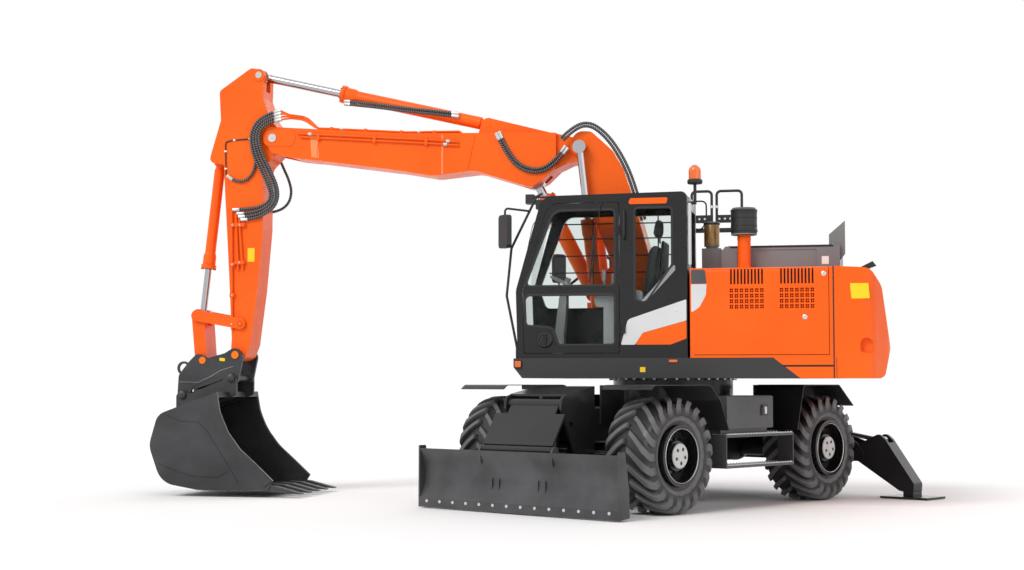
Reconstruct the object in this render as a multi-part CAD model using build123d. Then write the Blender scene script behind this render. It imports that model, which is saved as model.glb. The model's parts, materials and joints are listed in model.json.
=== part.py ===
"""Wheeled excavator with a two-piece boom, a front blade and two rear stabilisers.

Millimetres, +Z up.  The upper structure faces +X, its cab is on +Y.  Shapes of the upper
structure and the boom are drawn about the slew axis; shapes of the undercarriage are drawn
in their own frame (its +X towards the blade) and turned by CHASSIS_TURN about that axis.
"""
import os
from math import atan2, degrees, hypot, radians, tan

from build123d import *

os.makedirs("parts", exist_ok=True)

# ---------------------------------------------------------------- placing
SLEW_X, SLEW_Y = -1464, 33      # slew axis, from the middle of the parked machine's box
CHASSIS_TURN = 60                 # the undercarriage stands turned under the cab, degrees
GAP = 6                           # clearance between pieces that pass each other
FIT = 0.5                         # radial clearance of a pin in its bore
SEAT = 0.3                        # clearance of a piece that is fixed by small fasteners
RAM_SPARE = 35                    # room that a closed cylinder still has at each end
NECK = 25                         # base eye's neck, that the ears of its bracket may cover

# ---------------------------------------------------------------- undercarriage
WHEEL_R, TYRE_W = 562, 530        # out to the lug tips
LUG_H, LUGS = 36, 15              # height of the lugs and their number on each half
LUG_SWEEP = 13                    # degrees a lug leans round the tyre from middle to shoulder
RIM_R, RIM_WALL = 283, 14
RIM_FACE_Y = 1240                 # outer flange of the wheels
WHEEL_Y = RIM_FACE_Y - 270        # middle of the tyre
HUB_R, HUB_FACE_IN = 145, 30      # planetary hub and how far it lies inside the flange
DISC_IN, DISC_T = 150, 16         # wheel disc, from the flange
HAND_HOLES, HAND_HOLE_R, HAND_HOLE_AT = 8, 26, 198   # holes through the disc
FRONT_AXLE_X, REAR_AXLE_X = 1513, -1142
KINGPIN_Y, KINGPIN_R, KINGPIN_H = 655, 42, 210
AXLE_R, DIFF_R = 105, 170
TIE_ROD, TIE_ROD_R = (230, 25), 20   # x, z of the steering cylinder from the axle's centre
TIE_ROD_IN, TIE_ROD_DROP = 45, 28    # its ends: inside the kingpins, above the knuckle arms
FRAME_HALF_W, FRAME_Z0, FRAME_Z1 = 375, 690, 1010
FRAME_X0, FRAME_X1 = -1780, 1930
PLATE = 28                        # brackets and ears of the frame
LASH_EYE, LASH_EYE_R = (2120, 860), 30   # x, z of the lashing eye in each nose plate
RING_R, RING_Z0 = 640, 1130     # slewing bearing under the platform
FENDER_TOP, FENDER_T = 1235, 8
FENDER_Y0 = 640
STEP_X0, STEP_X1 = -420, 785
STEP_Z = (745, 440)               # top faces of the two steps
STEP_T, STEP_DEPTH = 28, 190
BOX_X0, BOX_X1, BOX_Z0, BOX_Z1 = -90, 725, 800, 1130
BOX_FACE_Y, BOX_INNER_Y, SHEET = 1190, 720, 6
BOX_LID_T, BOX_LID_Z = 18, 1122   # lid of the left box: thickness, top edge (its hinge)

# ---------------------------------------------------------------- blade
BLADE_HALF_W, BLADE_Z0, BLADE_Z1 = 1300, 12, 600
BLADE_FRONT_X, BLADE_T = 2540, 14
LINK_DX, LINK_DZ = 270, -440      # both blade links, from frame pin to blade pin
UPPER_LINK_PIN = (2200, 1060)     # x, z on the frame
LOWER_LINK_PIN = (2010, 640)
UPPER_LINK_HALF_W = 450
LOWER_LINK_Y, LOWER_LINK_W = FRAME_HALF_W - 75, 60
LINK_PIN_R = 25
BLADE_CYL_BASE, BLADE_CYL_TOP = (2050, 1000), (2199, 332)   # x, z, on frame and lower links
BLADE_CYL_SHORT, BLADE_CYL_Y = 520, 150

# ---------------------------------------------------------------- stabilisers
LEG_X, LEG_W = -2000, 190         # middle of the leg and its width along the machine
LEG_PIN = (1120, 490)             # y, z of the pivot on the frame
LEG_KNEE = (1385, 620)            # y, z of the cylinder pin
LEG_FOOT = (1735, 105)            # y, z of the ankle
LEG_CYL_PIN = (300, 800)          # y, z of the cylinder's frame pin
LEG_PIN_R = 40
LEG_CYL_SHORT = 700
PAD_HALF_Y, PAD_HALF_X, PAD_T, PAD_Z = 285, 200, 22, 4

# ---------------------------------------------------------------- platform and body
PLATFORM_Z0, PLATFORM_Z1, HALF_W = 1305, 1507, 1249
PLATFORM_X1 = 1480
SEAM_X, HOOD_FRONT_X, HOOD_TOP = -1732, -326, 2404
TAIL_X = -2275
HOOD_WALL, HOOD_ROUND, DOOR_LIP = 30, 50, 80
ENGINE_DOOR_X1 = HOOD_FRONT_X - 40 - SEAT   # hinge edge of the engine door
DECK_TOP, DECK_Y = 2650, 800      # deck box: top, near side
INTAKE = (-841, 900)              # x, y of the air intake
POCKET = 70                       # depth of the counterweight's lifting pockets
GRILLES_X = (-888, -1380)         # middles of the engine door's two grilles
SLOTS, SLOT_PITCH, SLOT_Z = 10, 34, (2236, 2386)   # upright slots at the top
MESH_NX, MESH_NZ, MESH_PITCH, MESH_HOLE, MESH_Z = 7, 4, (50, 54), (34, 38), 2093   # holes below them
TANK_WALL = 30
CAB_X0, CAB_X1, CAB_Y0, CAB_ROOF = -300, 1436, 400, 3178
ROOF_X1, ROOF_DROP = 1180, 15      # front of the cab roof, how much lower it is there
CAB_WALL, CAB_FLOOR = 45, 1552     # thickness of walls, top of the floor
HINGE_Z = (1800, 2800)            # the two hinges of the cab door
CAB_HINGE_X, CAB_HINGE_OUT = 384, 14   # door hinge axis: x, and how far outside the wall
DOOR_X0 = 390                     # middle of the B pillar
DOOR_LATCH = (1151, 1696)         # x, z of the round latch
GLASS_T = 6
CHANNEL_HALF = 380                # half of the open middle where the boom works
BRACKET_T = 25
SEAT_Y = (CAB_Y0 + HALF_W) / 2    # middle of the cab and of the driver's seat
CONSOLE_Y = (HALF_W - CAB_Y0) / 2 - CAB_WALL - 75   # from the middle of the seat to that of a console
RAIL_Y = HALF_W - 69              # guard rail in front of the cab
LAMP_Y = (CAB_Y0 + 130, HALF_W - 200)   # the two work lamps on the roof's front
REAR_WINDOW = [(230, 2090, 40), (120, 2060, 60), (-150, 2440, 60), (-150, 3020, 40), (230, 3020, 40)]
RIGHT_WINDOW = [(-130, 2250, 40), (-130, 3020, 40), (1080, 3020, 120), (1370, 2250, 80), (1300, 2050, 60),
                (500, 2050, 60)]
DOOR_WINDOW = [(430, 2240, 40), (430, 3010, 40), (1060, 3010, 130), (1360, 2240, 40)]
DOOR_LOW_WINDOW = [(430, 1640, 40), (430, 2150, 40), (1365, 2150, 60), (1352, 1840, 40), (1070, 1815, 60),
                   (1010, 1640, 40)]

# ---------------------------------------------------------------- boom and arm, x, z
BOOM_FOOT = (220, 1930)
BOOM_HINGE = (960, 3800)
BOOM_CYL_BASE, BOOM_CYL_Y = (720, 1620), 287
POS_CYL_BASE, POS_CYL_TOP = (850, 2220), (1490, 3465)
ARM_PIVOT = (4514, 4029)
ARM_CYL_BASE, ARM_CYL_TOP = (2030, 4120), (4702, 4765)
BUCKET_CYL_BASE = (5221, 3800)
IDLER_PIN, LINK_TOP = (4890, 1927), (5419, 2023)
BUCKET_PIN, LINK_LOW = (4920, 1571), (5373, 1505)
COUPLER_FRONT, COUPLER_REAR = (4959, 1312), (5543, 1119)
BOOM_HALF_W = 200
TAIL_HALF_W = 160                 # upper boom where it enters the base boom's fork
ARM_HALF_W = 155
BUCKET_HALF_W = 600
BOOM_CYL_SHORT, POS_CYL_SHORT, ARM_CYL_SHORT, BUCKET_CYL_SHORT = 1500, 1330, 1880, 1340
BOOM_CYL_R, BOOM_ROD_R, RAM_EYE_W = 68, 40, 100
POS_CYL_R, POS_ROD_R, POS_EYE_W = 84, 52, 120
ARM_CYL_R, ARM_ROD_R, ARM_EYE_W = 70, 45, 110
BUCKET_CYL_R, BUCKET_ROD_R, BUCKET_EYE_W = 60, 38, 100
BOOM_PIN_R, BUCKET_PIN_R, IDLER_PIN_R = 45, 40, 35
HOSE_R = 17
HOOPS = ((-165, -385, HOOD_TOP), (-440, -715, DECK_TOP))   # hand rails: x of both legs, foot of the second
HOOP_Y, HOOP_TOP = -450, 3370
FORK_PLATE = 34                   # base boom's side plates at the fork
IDLER_T = 30
LINK_IN, LINK_OUT = 60, 148       # cheeks of the bucket link
COUPLER_IN, COUPLER_OUT = 200, 240
TEETH = 5


# ================================================================ helpers
def face_of(rows):
    """Face from rows of (a, b, corner radius)."""
    return make_face(FilletPolyline(*[(a, b) for a, b, r in rows], radius=[r for a, b, r in rows],
                                    close=True))


def slab_xz(rows, y0, y1):
    """Plate of the outline rows (x, z, corner radius) between two heights on Y."""
    return Pos(0, y1, 0) * Rot(90, 0, 0) * extrude(face_of(rows), y1 - y0)


def slab_yz(rows, x0, x1):
    """Plate of the outline rows (y, z, corner radius) between two stations on X."""
    return Pos(x0, 0, 0) * (Plane.YZ * extrude(face_of(rows), x1 - x0))


def slab_xy(rows, z0, z1):
    """Plate of the outline rows (x, y, corner radius) between two heights."""
    return Pos(0, 0, z0) * extrude(face_of(rows), z1 - z0)


def box(x0, x1, y0, y1, z0, z1):
    """Box between low and high limits on each axis."""
    return Pos((x0 + x1) / 2, (y0 + y1) / 2, (z0 + z1) / 2) * Box(x1 - x0, y1 - y0, z1 - z0)


def pin_y(at, r, y0, y1):
    """Round bar along Y at the point (x, z)."""
    return Pos(at[0], (y0 + y1) / 2, at[1]) * Rot(90, 0, 0) * Cylinder(r, y1 - y0)


def pin_x(at, r, x0, x1):
    """Round bar along X at the point (y, z)."""
    return Pos((x0 + x1) / 2, at[0], at[1]) * Rot(0, 90, 0) * Cylinder(r, x1 - x0)


def bar(path, r):
    """Round bar along straight runs joined by arcs of three radii of the bar."""
    bends = [3 * r] * (len(path) - 2)
    line = FilletPolyline(*path, radius=bends) if bends else Line(*path)
    start = Plane(origin=line @ 0, z_dir=line % 0)
    return sweep(start * Circle(r), path=line)


def bosses(at, r, half, t):
    """Round bosses about the point (x, z) on both faces of a plate or box of the given half-width."""
    return pin_y(at, r, half, half + t) + pin_y(at, r, -half - t, -half)


def both_sides(shape):
    """The shape and its mirror image across the machine's middle plane."""
    return [shape, mirror(shape, about=Plane.XZ)]


def fuse(parts):
    """One shape of all parts."""
    whole = parts[0]
    for part in parts[1:]:
        whole = whole + part
    return whole


def ram(base, top, shortest, bore_r, rod_r, eye_w):
    """Hydraulic cylinder between its base pin and rod pin, both (x, z).

    shortest: pin to pin when closed.  The rod's eye carries its own pin, the base eye is
    bored for the pin of the bracket.  Returns barrel and rod.
    """
    low = (Align.CENTER, Align.CENTER, Align.MIN)
    length = hypot(top[0] - base[0], top[1] - base[1])
    eye_r, pin_r = 1.05 * bore_r, 0.5 * bore_r
    mouth = shortest - eye_r - RAM_SPARE
    bottom = eye_r + NECK + RAM_SPARE / 2
    rod_in = shortest - bottom - RAM_SPARE
    neck = eye_r + NECK
    barrel = Pos(0, 0, pin_r) * Cylinder(eye_w / 2, neck - pin_r, align=low)
    barrel += Pos(0, 0, neck) * Cylinder(bore_r, mouth - neck, align=low)
    barrel += Pos(0, 0, mouth - bore_r) * Cylinder(1.12 * bore_r, bore_r, align=low)
    barrel += Rot(90, 0, 0) * Cylinder(eye_r, eye_w)
    barrel -= Rot(90, 0, 0) * Cylinder(pin_r + FIT, 2 * eye_w)
    barrel -= Pos(0, 0, bottom) * Cylinder(rod_r + 1, mouth, align=low)
    rod = Pos(0, 0, length - rod_in) * Cylinder(rod_r, rod_in, align=low)
    rod += Pos(0, 0, length) * Rot(90, 0, 0) * Cylinder(eye_r, eye_w)
    turn = degrees(atan2(top[0] - base[0], top[1] - base[1]))
    place = Pos(base[0], 0, base[1]) * Rot(0, turn, 0)
    return place * barrel, place * rod


# ================================================================ wheels and axles
def lug():
    """One tread bar, leaning round the tyre from its middle to its +Y shoulder."""
    half, crown = TYRE_W / 2, WHEEL_R - LUG_H
    sections = []
    # y, root radius, top radius, half-width at the root and at the top, degrees round the tyre
    for y, root, top, w_root, w_top, turn in ((3, crown - 20, WHEEL_R - 0.4, 28, 18, 0),
                                              (half - 16, crown - 95, WHEEL_R - 12, 40, 26, LUG_SWEEP)):
        edge = Polyline((-w_root, root), (-w_top, top), (w_top, top), (w_root, root), close=True)
        plane = Plane(origin=(0, y, 0), x_dir=(1, 0, 0), z_dir=(0, -1, 0))
        sections.append(Rot(0, turn, 0) * (plane * make_face(edge)))
    return loft(sections, ruled=True)


def tyre(side):
    """Tyre about Y, its middle at the origin: a ring with leaning bars on both halves.

    side is +1 for the wheels on +Y; the other side's tyres are their mirror images.
    """
    half, crown = TYRE_W / 2, WHEEL_R - LUG_H
    flank = [(half - 60, RIM_R + SEAT), (half - 6, RIM_R + 70), (half, crown - 115), (half - 72, crown)]
    outline = Polyline(*flank, *[(-y, z) for y, z in reversed(flank)], close=True)
    ring = revolve(Plane.YZ * make_face(outline), Axis.Y)
    left_bar, pitch = lug(), 360 / LUGS
    right_bar = mirror(left_bar, about=Plane.XZ)
    bars = [Rot(0, i * pitch, 0) * left_bar for i in range(LUGS)]
    bars += [Rot(0, (i + 0.5) * pitch, 0) * right_bar for i in range(LUGS)]
    body = ring + bars
    return body if side > 0 else mirror(body, about=Plane.XZ)


def rim(side):
    """Wheel rim, disc and planetary hub about Y; side is +1 where the flange faces +Y."""
    face = RIM_FACE_Y - WHEEL_Y
    inner = 60 - TYRE_W / 2
    rows = [(face - 20, RIM_R + 12, 0), (face, RIM_R + 12, 0), (face, RIM_R - RIM_WALL, 0),
            (face - DISC_IN + DISC_T, RIM_R - RIM_WALL - 20, 0), (face - DISC_IN + DISC_T, 0, 0),
            (face - DISC_IN, 0, 0), (face - DISC_IN, RIM_R - RIM_WALL - 22, 0),
            (inner, RIM_R - RIM_WALL - 22, 0), (inner, RIM_R, 0), (face - 20, RIM_R, 0)]
    ring = revolve(Plane.YZ * face_of(rows), Axis.Y)
    hub_out = face - HUB_FACE_IN
    hub = pin_y((0, 0), HUB_R, face - DISC_IN + 1, hub_out - 30)
    hub += pin_y((0, 0), HUB_R - 30, hub_out - 31, hub_out)
    hole = pin_y((0, HAND_HOLE_AT), HAND_HOLE_R, face - DISC_IN - 1, face)
    holes = [Rot(0, 360 / HAND_HOLES * i, 0) * hole for i in range(HAND_HOLES)]
    wheel = ring + hub - holes
    return wheel if side > 0 else mirror(wheel, about=Plane.XZ)


def knuckle(side):
    """Steering knuckle: kingpin barrel, spindle into the wheel and steering arm."""
    hub_end = RIM_FACE_Y - DISC_IN - SEAT
    body = Pos(0, KINGPIN_Y, 0) * Cylinder(KINGPIN_R + 22, KINGPIN_H - 2 * GAP)
    body += pin_y((0, 0), 95, KINGPIN_Y, hub_end)
    (x, z) = TIE_ROD
    end = KINGPIN_Y - TIE_ROD_IN
    plan = [(-10, KINGPIN_Y - 30, 0), (-10, KINGPIN_Y + 30, 0), (x + 25, end + 25, 20),
            (x + 25, end - 25, 20), (x - 40, end - 25, 0)]
    body += slab_xy(plan, z - TIE_ROD_DROP - 32, z - TIE_ROD_DROP)
    body -= Pos(0, KINGPIN_Y, 0) * Cylinder(KINGPIN_R + FIT, 2 * KINGPIN_H)
    return body if side > 0 else mirror(body, about=Plane.XZ)


def axle_beam(half):
    """Axle housing along Y with its differential bulge and the pads it hangs from."""
    beam = pin_y((0, 0), AXLE_R, -half, half) + Sphere(DIFF_R)
    return beam + box(-110, 110, -230, 230, 60, FRAME_Z0 - WHEEL_R - SEAT)


def axle_front():
    """Steered axle: housing that ends short of the steering arms, kingpin forks and steering cylinder."""
    fork_in = KINGPIN_Y - KINGPIN_R - 45
    beam = axle_beam(fork_in - 100)
    fork = box(-50, 50, fork_in - 120, fork_in - 5, -KINGPIN_H / 2 - 40, KINGPIN_H / 2 + 40)
    for z in (KINGPIN_H / 2, -KINGPIN_H / 2 - 40):
        fork += box(-60, 60, fork_in - 60, KINGPIN_Y + 50, z, z + 40)
    fork += Pos(0, KINGPIN_Y, 0) * Cylinder(KINGPIN_R, KINGPIN_H + 90)
    beam = fuse([beam] + both_sides(fork))
    beam += pin_y(TIE_ROD, 45, -330, 330) + box(0, TIE_ROD[0], -60, 60, -20, 40)
    return beam - pin_y(TIE_ROD, TIE_ROD_R + FIT, -331, 331)


def tie_rod():
    """Rod of the steering cylinder, its ends over both knuckle arms."""
    x, z = TIE_ROD
    end = KINGPIN_Y - TIE_ROD_IN
    foot = Pos(x, end, z) * Cylinder(24, TIE_ROD_DROP - SEAT, align=(Align.CENTER, Align.CENTER, Align.MAX))
    return fuse([pin_y(TIE_ROD, TIE_ROD_R, -end, end)] + both_sides(foot))


def axle_rear():
    """Rear axle with the gearbox and the drive shaft to the front axle."""
    beam = axle_beam(RIM_FACE_Y - DISC_IN - SEAT)
    beam += box(150, 620, -170, 170, -150, FRAME_Z0 - WHEEL_R - SEAT)
    return beam + box(600, FRONT_AXLE_X - REAR_AXLE_X - DIFF_R - SEAT, -40, 40, -40, 40)


# ================================================================ undercarriage frame
def chassis_frame():
    """Welded box frame with the slewing bearing on its tub, and the blade's and the stabilisers' brackets."""
    frame = box(FRAME_X0, FRAME_X1, -FRAME_HALF_W, FRAME_HALF_W, FRAME_Z0, FRAME_Z1)
    frame += Pos(0, 0, (FRAME_Z1 - 10 + RING_Z0) / 2) * Cylinder(RING_R - 15, RING_Z0 - FRAME_Z1 + 10)
    ring_top = PLATFORM_Z0 - SEAT
    frame += Pos(0, 0, (RING_Z0 + ring_top) / 2) * Cylinder(RING_R, ring_top - RING_Z0)
    for x in (FRONT_AXLE_X, REAR_AXLE_X):
        frame -= Pos(x, 0, WHEEL_R) * Sphere(DIFF_R + GAP)
    (ux, uz), (bx, bz) = UPPER_LINK_PIN, BLADE_CYL_BASE
    nose = [(FRAME_X1 - 160, 520, 20), (2080, 570, 50), (ux + 72, uz - 40, 60), (ux + 50, uz + 68, 60),
            (FRAME_X1 - 160, FENDER_TOP - 10, 20)]
    for y in (-FRAME_HALF_W, FRAME_HALF_W - PLATE):
        frame += slab_xz(nose, y, y + PLATE) - pin_y(LASH_EYE, LASH_EYE_R, y - 1, y + PLATE + 1)
    lid = [(FRAME_X1 - 160, FENDER_TOP - 30, 0), (FRAME_X1 - 160, FENDER_TOP - 10, 0),
           (ux - 20, uz + 88, 0), (ux - 20, uz + 68, 0)]
    frame += slab_xz(lid, -FRAME_HALF_W, FRAME_HALF_W)
    ear = [(FRAME_X1 - 10, bz - 90, 0), (bx + 20, bz - 60, 50), (bx + 40, bz + 40, 40),
           (bx - 20, bz + 60, 40), (FRAME_X1 - 10, bz + 10, 0)]
    for inner in (BLADE_CYL_Y - 30 - GAP - 20, BLADE_CYL_Y + 30 + GAP):
        for side in both_sides(slab_xz(ear, inner, inner + 20)):
            frame += side
    for side in both_sides(pin_y(BLADE_CYL_BASE, 22.5, BLADE_CYL_Y - 56, BLADE_CYL_Y + 56)):
        frame += side
    frame += pin_y(UPPER_LINK_PIN, LINK_PIN_R, -FRAME_HALF_W, FRAME_HALF_W)
    frame += pin_y(LOWER_LINK_PIN, LINK_PIN_R, -FRAME_HALF_W, FRAME_HALF_W)
    y, z = LEG_PIN
    x0, x1 = LEG_X - LEG_W / 2 - GAP, LEG_X + LEG_W / 2 + GAP
    ear = [(-y - 60, z - 100, 50), (y + 60, z - 100, 50), (y + 90, z, 60), (y, z + 110, 60),
           (LEG_CYL_PIN[0] + 100, 860, 60), (-LEG_CYL_PIN[0] - 100, 860, 60), (-y, z + 110, 60),
           (-y - 90, z, 60)]
    for low in (x0 - PLATE, x1):
        frame += slab_yz(ear, low, low + PLATE)
    frame += box(x0 - 1, x1 + 1, -FRAME_HALF_W, FRAME_HALF_W, z - 80, FRAME_Z0 - 20)
    for side in (-1, 1):
        frame += pin_x((side * y, z), LEG_PIN_R, x0 - 45, x1 + 45)
        frame += pin_x((side * LEG_CYL_PIN[0], LEG_CYL_PIN[1]), 22.5, x0 - 45, x1 + 45)
    return frame + box(x1, FRAME_X0 + 20, -FRAME_HALF_W, FRAME_HALF_W, FRAME_Z0, 850)


def fenders():
    """Mudguards over the wheels, carried on the frame by arms."""
    front = [(FRONT_AXLE_X - 780, 790, 0), (FRONT_AXLE_X - 640, 1080, 90),
             (FRONT_AXLE_X - 470, FENDER_TOP, 90), (FRONT_AXLE_X + 420, FENDER_TOP, 60),
             (FRONT_AXLE_X + 470, FENDER_TOP - 40, 0)]
    rear = [(REAR_AXLE_X + 640, 770, 0), (REAR_AXLE_X + 510, FENDER_TOP, 60),
            (REAR_AXLE_X - 190, FENDER_TOP, 60), (REAR_AXLE_X - 480, 1010, 0)]
    parts = []
    for rows, x in ((front, FRONT_AXLE_X), (rear, REAR_AXLE_X)):
        path = FilletPolyline(*[(a, b) for a, b, r in rows], radius=[r for a, b, r in rows][1:-1])
        sheet = make_face(offset(path, FENDER_T / 2, side=Side.BOTH))
        guard = Pos(0, RIM_FACE_Y, 0) * Rot(90, 0, 0) * extrude(sheet, RIM_FACE_Y - FENDER_Y0)
        guard += box(x - 180, x + 180, FRAME_HALF_W + SEAT, FENDER_Y0 + 20, FENDER_TOP - 45, FENDER_TOP)
        guard += box(x - 180, x + 180, FRAME_HALF_W + SEAT, FRAME_HALF_W + 20, FRAME_Z1 - 150, FENDER_TOP)
        parts += both_sides(guard)
    return Compound(parts)


def side_boxes():
    """Tool boxes and steps between the wheels; the left box is open behind its door."""
    parts = []
    for side in (1, -1):
        shell = box(BOX_X0, BOX_X1, BOX_INNER_Y, BOX_FACE_Y, BOX_Z0, BOX_Z1)
        if side > 0:
            shell -= box(BOX_X0 + SHEET, BOX_X1 - SHEET, BOX_INNER_Y + SHEET, BOX_FACE_Y + 1,
                         BOX_Z0 + SHEET, BOX_Z1 - SHEET)
        for top in STEP_Z:
            shell += box(STEP_X0, STEP_X1, RIM_FACE_Y - STEP_DEPTH, RIM_FACE_Y, top - STEP_T, top)
        for x in (STEP_X0, STEP_X1 - 12):
            shell += box(x, x + 12, RIM_FACE_Y - STEP_DEPTH, RIM_FACE_Y, STEP_Z[1] - STEP_T, STEP_Z[0])
        shell += box(STEP_X0, BOX_X1 - 20, BOX_INNER_Y, RIM_FACE_Y - STEP_DEPTH + 10, STEP_Z[0] - STEP_T,
                     STEP_Z[0])
        shell += box(BOX_X0, BOX_X1, BOX_INNER_Y, BOX_FACE_Y - 60, STEP_Z[0], BOX_Z0)
        shell += box(BOX_X0, BOX_X1 - 200, FRAME_HALF_W + SEAT, BOX_INNER_Y, FRAME_Z0 + 200, FRAME_Z1 - 20)
        parts.append(shell if side > 0 else mirror(shell, about=Plane.XZ))
    return Compound(parts)


def tool_box_lid():
    """Door of the left tool box, hinged at its top edge."""
    y0, y1 = BOX_FACE_Y + SEAT, BOX_FACE_Y + BOX_LID_T
    return box(BOX_X0, BOX_X1, y0, y1, BOX_Z0 + 4, BOX_LID_Z) + box(60, 130, y1, y1 + 12, 930, 1000)


# ================================================================ blade and its linkage
def moved_point(point):
    """Blade end of a link whose frame end is the point (x, z)."""
    return point[0] + LINK_DX, point[1] + LINK_DZ


def blade():
    """Dozer blade: curved mouldboard, end plates, cutting edge and pin brackets."""
    x = BLADE_FRONT_X
    board = [(x, BLADE_Z1, 0), (x - 75, 420, 300), (x - 75, 240, 200), (x, BLADE_Z0 + 90, 0),
             (x, BLADE_Z0, 0), (x - 26, BLADE_Z0, 0), (x - 26, 95, 0), (x - 75 - BLADE_T, 235, 200),
             (x - 75 - BLADE_T, 425, 300), (x - 18, BLADE_Z1, 0)]
    top = BLADE_Z1 + 30
    end = [(x, top, 12), (x, BLADE_Z0, 0), (x - 150, 30, 0), (x - 140, 300, 60), (x - 85, top, 12)]
    rib = [(x - 60, BLADE_Z1 - 40, 0), (x - 160, 400, 60), (x - 160, 240, 60), (x - 30, 60, 0),
           (x - 80, 235, 0), (x - 80, 425, 0)]
    upper, lower = moved_point(UPPER_LINK_PIN), moved_point(LOWER_LINK_PIN)
    parts = [slab_xz(board, -BLADE_HALF_W, BLADE_HALF_W)]
    parts += both_sides(slab_xz(end, BLADE_HALF_W - 20, BLADE_HALF_W))
    for y in (640, 960):
        parts += both_sides(slab_xz(rib, y, y + 16))
    ear = [(x - 60, lower[1] - 90, 0), (x - 60, lower[1] + 130, 0), (lower[0] - 30, lower[1] + 50, 40),
           (lower[0] - 45, lower[1] - 50, 40)]
    y0, y1 = LOWER_LINK_Y - LOWER_LINK_W / 2, LOWER_LINK_Y + LOWER_LINK_W / 2
    for inner in (y0 - GAP - 20, y1 + GAP):
        parts += both_sides(slab_xz(ear, inner, inner + 20))
    parts += both_sides(pin_y(lower, LINK_PIN_R, y0 - 20, y1 + 20))
    ear = [(x - 30, upper[1] - 160, 0), (x - 10, upper[1] - 25, 0), (upper[0] + 20, upper[1] + 45, 40),
           (upper[0] - 50, upper[1] + 20, 40), (upper[0] - 40, upper[1] - 60, 30)]
    parts += both_sides(slab_xz(ear, UPPER_LINK_HALF_W + GAP, UPPER_LINK_HALF_W + GAP + 20))
    parts.append(pin_y(upper, LINK_PIN_R, -UPPER_LINK_HALF_W - 20, UPPER_LINK_HALF_W + 20))
    return fuse(parts)


def blade_upper_link():
    """Wide plate link between two tubes."""
    top, low = UPPER_LINK_PIN, moved_point(UPPER_LINK_PIN)
    half = FRAME_HALF_W - PLATE - GAP
    slope = degrees(atan2(-LINK_DZ, LINK_DX))
    run = hypot(LINK_DX, LINK_DZ)
    along = Pos(top[0], 0, top[1]) * Rot(0, slope, 0)
    link = pin_y(top, 42, -half, half) + pin_y(low, 38, -UPPER_LINK_HALF_W, UPPER_LINK_HALF_W)
    link += along * box(140, run - 30, -UPPER_LINK_HALF_W, UPPER_LINK_HALF_W, 18, 38)
    link += along * box(0, run, -half + 30, half - 30, 0, 20)
    for point in (top, low):
        link -= pin_y(point, LINK_PIN_R + FIT, -BLADE_HALF_W, BLADE_HALF_W)
    return link


def blade_lower_links():
    """Two bar links under the wide one, joined by a plate with the cylinders' ears."""
    top, low = LOWER_LINK_PIN, moved_point(LOWER_LINK_PIN)
    slope = degrees(atan2(-LINK_DZ, LINK_DX))
    run = hypot(LINK_DX, LINK_DZ)
    y0, y1 = LOWER_LINK_Y - LOWER_LINK_W / 2, LOWER_LINK_Y + LOWER_LINK_W / 2
    arm = pin_y(top, 45, y0, y1) + pin_y(low, 45, y0, y1)
    arm += Pos(top[0], 0, top[1]) * Rot(0, slope, 0) * box(0, run, y0, y1, -32, 32)
    for point in (top, low):
        arm -= pin_y(point, LINK_PIN_R + FIT, y0 - 1, y1 + 1)
    parts = both_sides(arm)
    along = Pos(top[0], 0, top[1]) * Rot(0, slope, 0)
    at = hypot(BLADE_CYL_TOP[0] - top[0], BLADE_CYL_TOP[1] - top[1])
    parts.append(along * box(at - 90, at + 50, -y0 - 1, y0 + 1, -90, -70))
    parts += both_sides(along * box(at - 90, at + 50, y0 - 1, y0 + 20, -90, -20))
    for inner in (BLADE_CYL_Y - 30 - GAP - 16, BLADE_CYL_Y + 30 + GAP):
        parts += both_sides(along * box(at - 40, at + 40, inner, inner + 16, -80, 40))
    return fuse(parts)


def blade_rams():
    """The two blade cylinders: barrels and rods."""
    barrel, rod = ram(BLADE_CYL_BASE, BLADE_CYL_TOP, BLADE_CYL_SHORT, 45, 25, 60)
    return tuple(Compound([Pos(0, y, 0) * piece for y in (-BLADE_CYL_Y, BLADE_CYL_Y)])
                 for piece in (barrel, rod))


# ================================================================ stabilisers, drawn for +Y
def leg():
    """Stabiliser leg: bell crank of two cheeks and a web, with its ground pad."""
    x0, x1 = LEG_X - LEG_W / 2, LEG_X + LEG_W / 2
    (py, pz), (ky, kz), (fy, fz) = LEG_PIN, LEG_KNEE, LEG_FOOT
    cheek = [(py - 75, pz + 10, 60), (py - 10, pz - 95, 60), (fy - 110, fz - 20, 30),
             (fy + 60, fz - 50, 30), (fy + 70, fz + 60, 40), (ky + 75, kz + 20, 60), (ky, kz + 80, 60),
             (py, pz + 80, 60)]
    body = slab_yz(cheek, x0, x1)
    slot = [(ky - 330, kz - 45, 0), (ky - 120, kz - 75, 40), (ky + 60, kz - 75, 40), (ky + 160, kz + 60, 0),
            (ky + 100, kz + 120, 0), (ky - 330, kz + 160, 0)]
    body -= slab_yz(slot, x0 + 40, x1 - 40)
    body -= pin_x(LEG_PIN, LEG_PIN_R + FIT, x0 - 1, x1 + 1)
    pad = box(LEG_X - PAD_HALF_X, LEG_X + PAD_HALF_X, fy - PAD_HALF_Y, fy + PAD_HALF_Y, PAD_Z,
              PAD_Z + PAD_T)
    return body + pad + box(x0, x1, fy - 60, fy + 60, PAD_Z, fz)


def leg_ram():
    """Stabiliser cylinder, from the frame's bracket to the leg's knee."""
    place = Pos(LEG_X, 0, 0) * Rot(0, 0, 90)
    return [place * piece for piece in ram(LEG_CYL_PIN, LEG_KNEE, LEG_CYL_SHORT, 45, 27, 60)]


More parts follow.
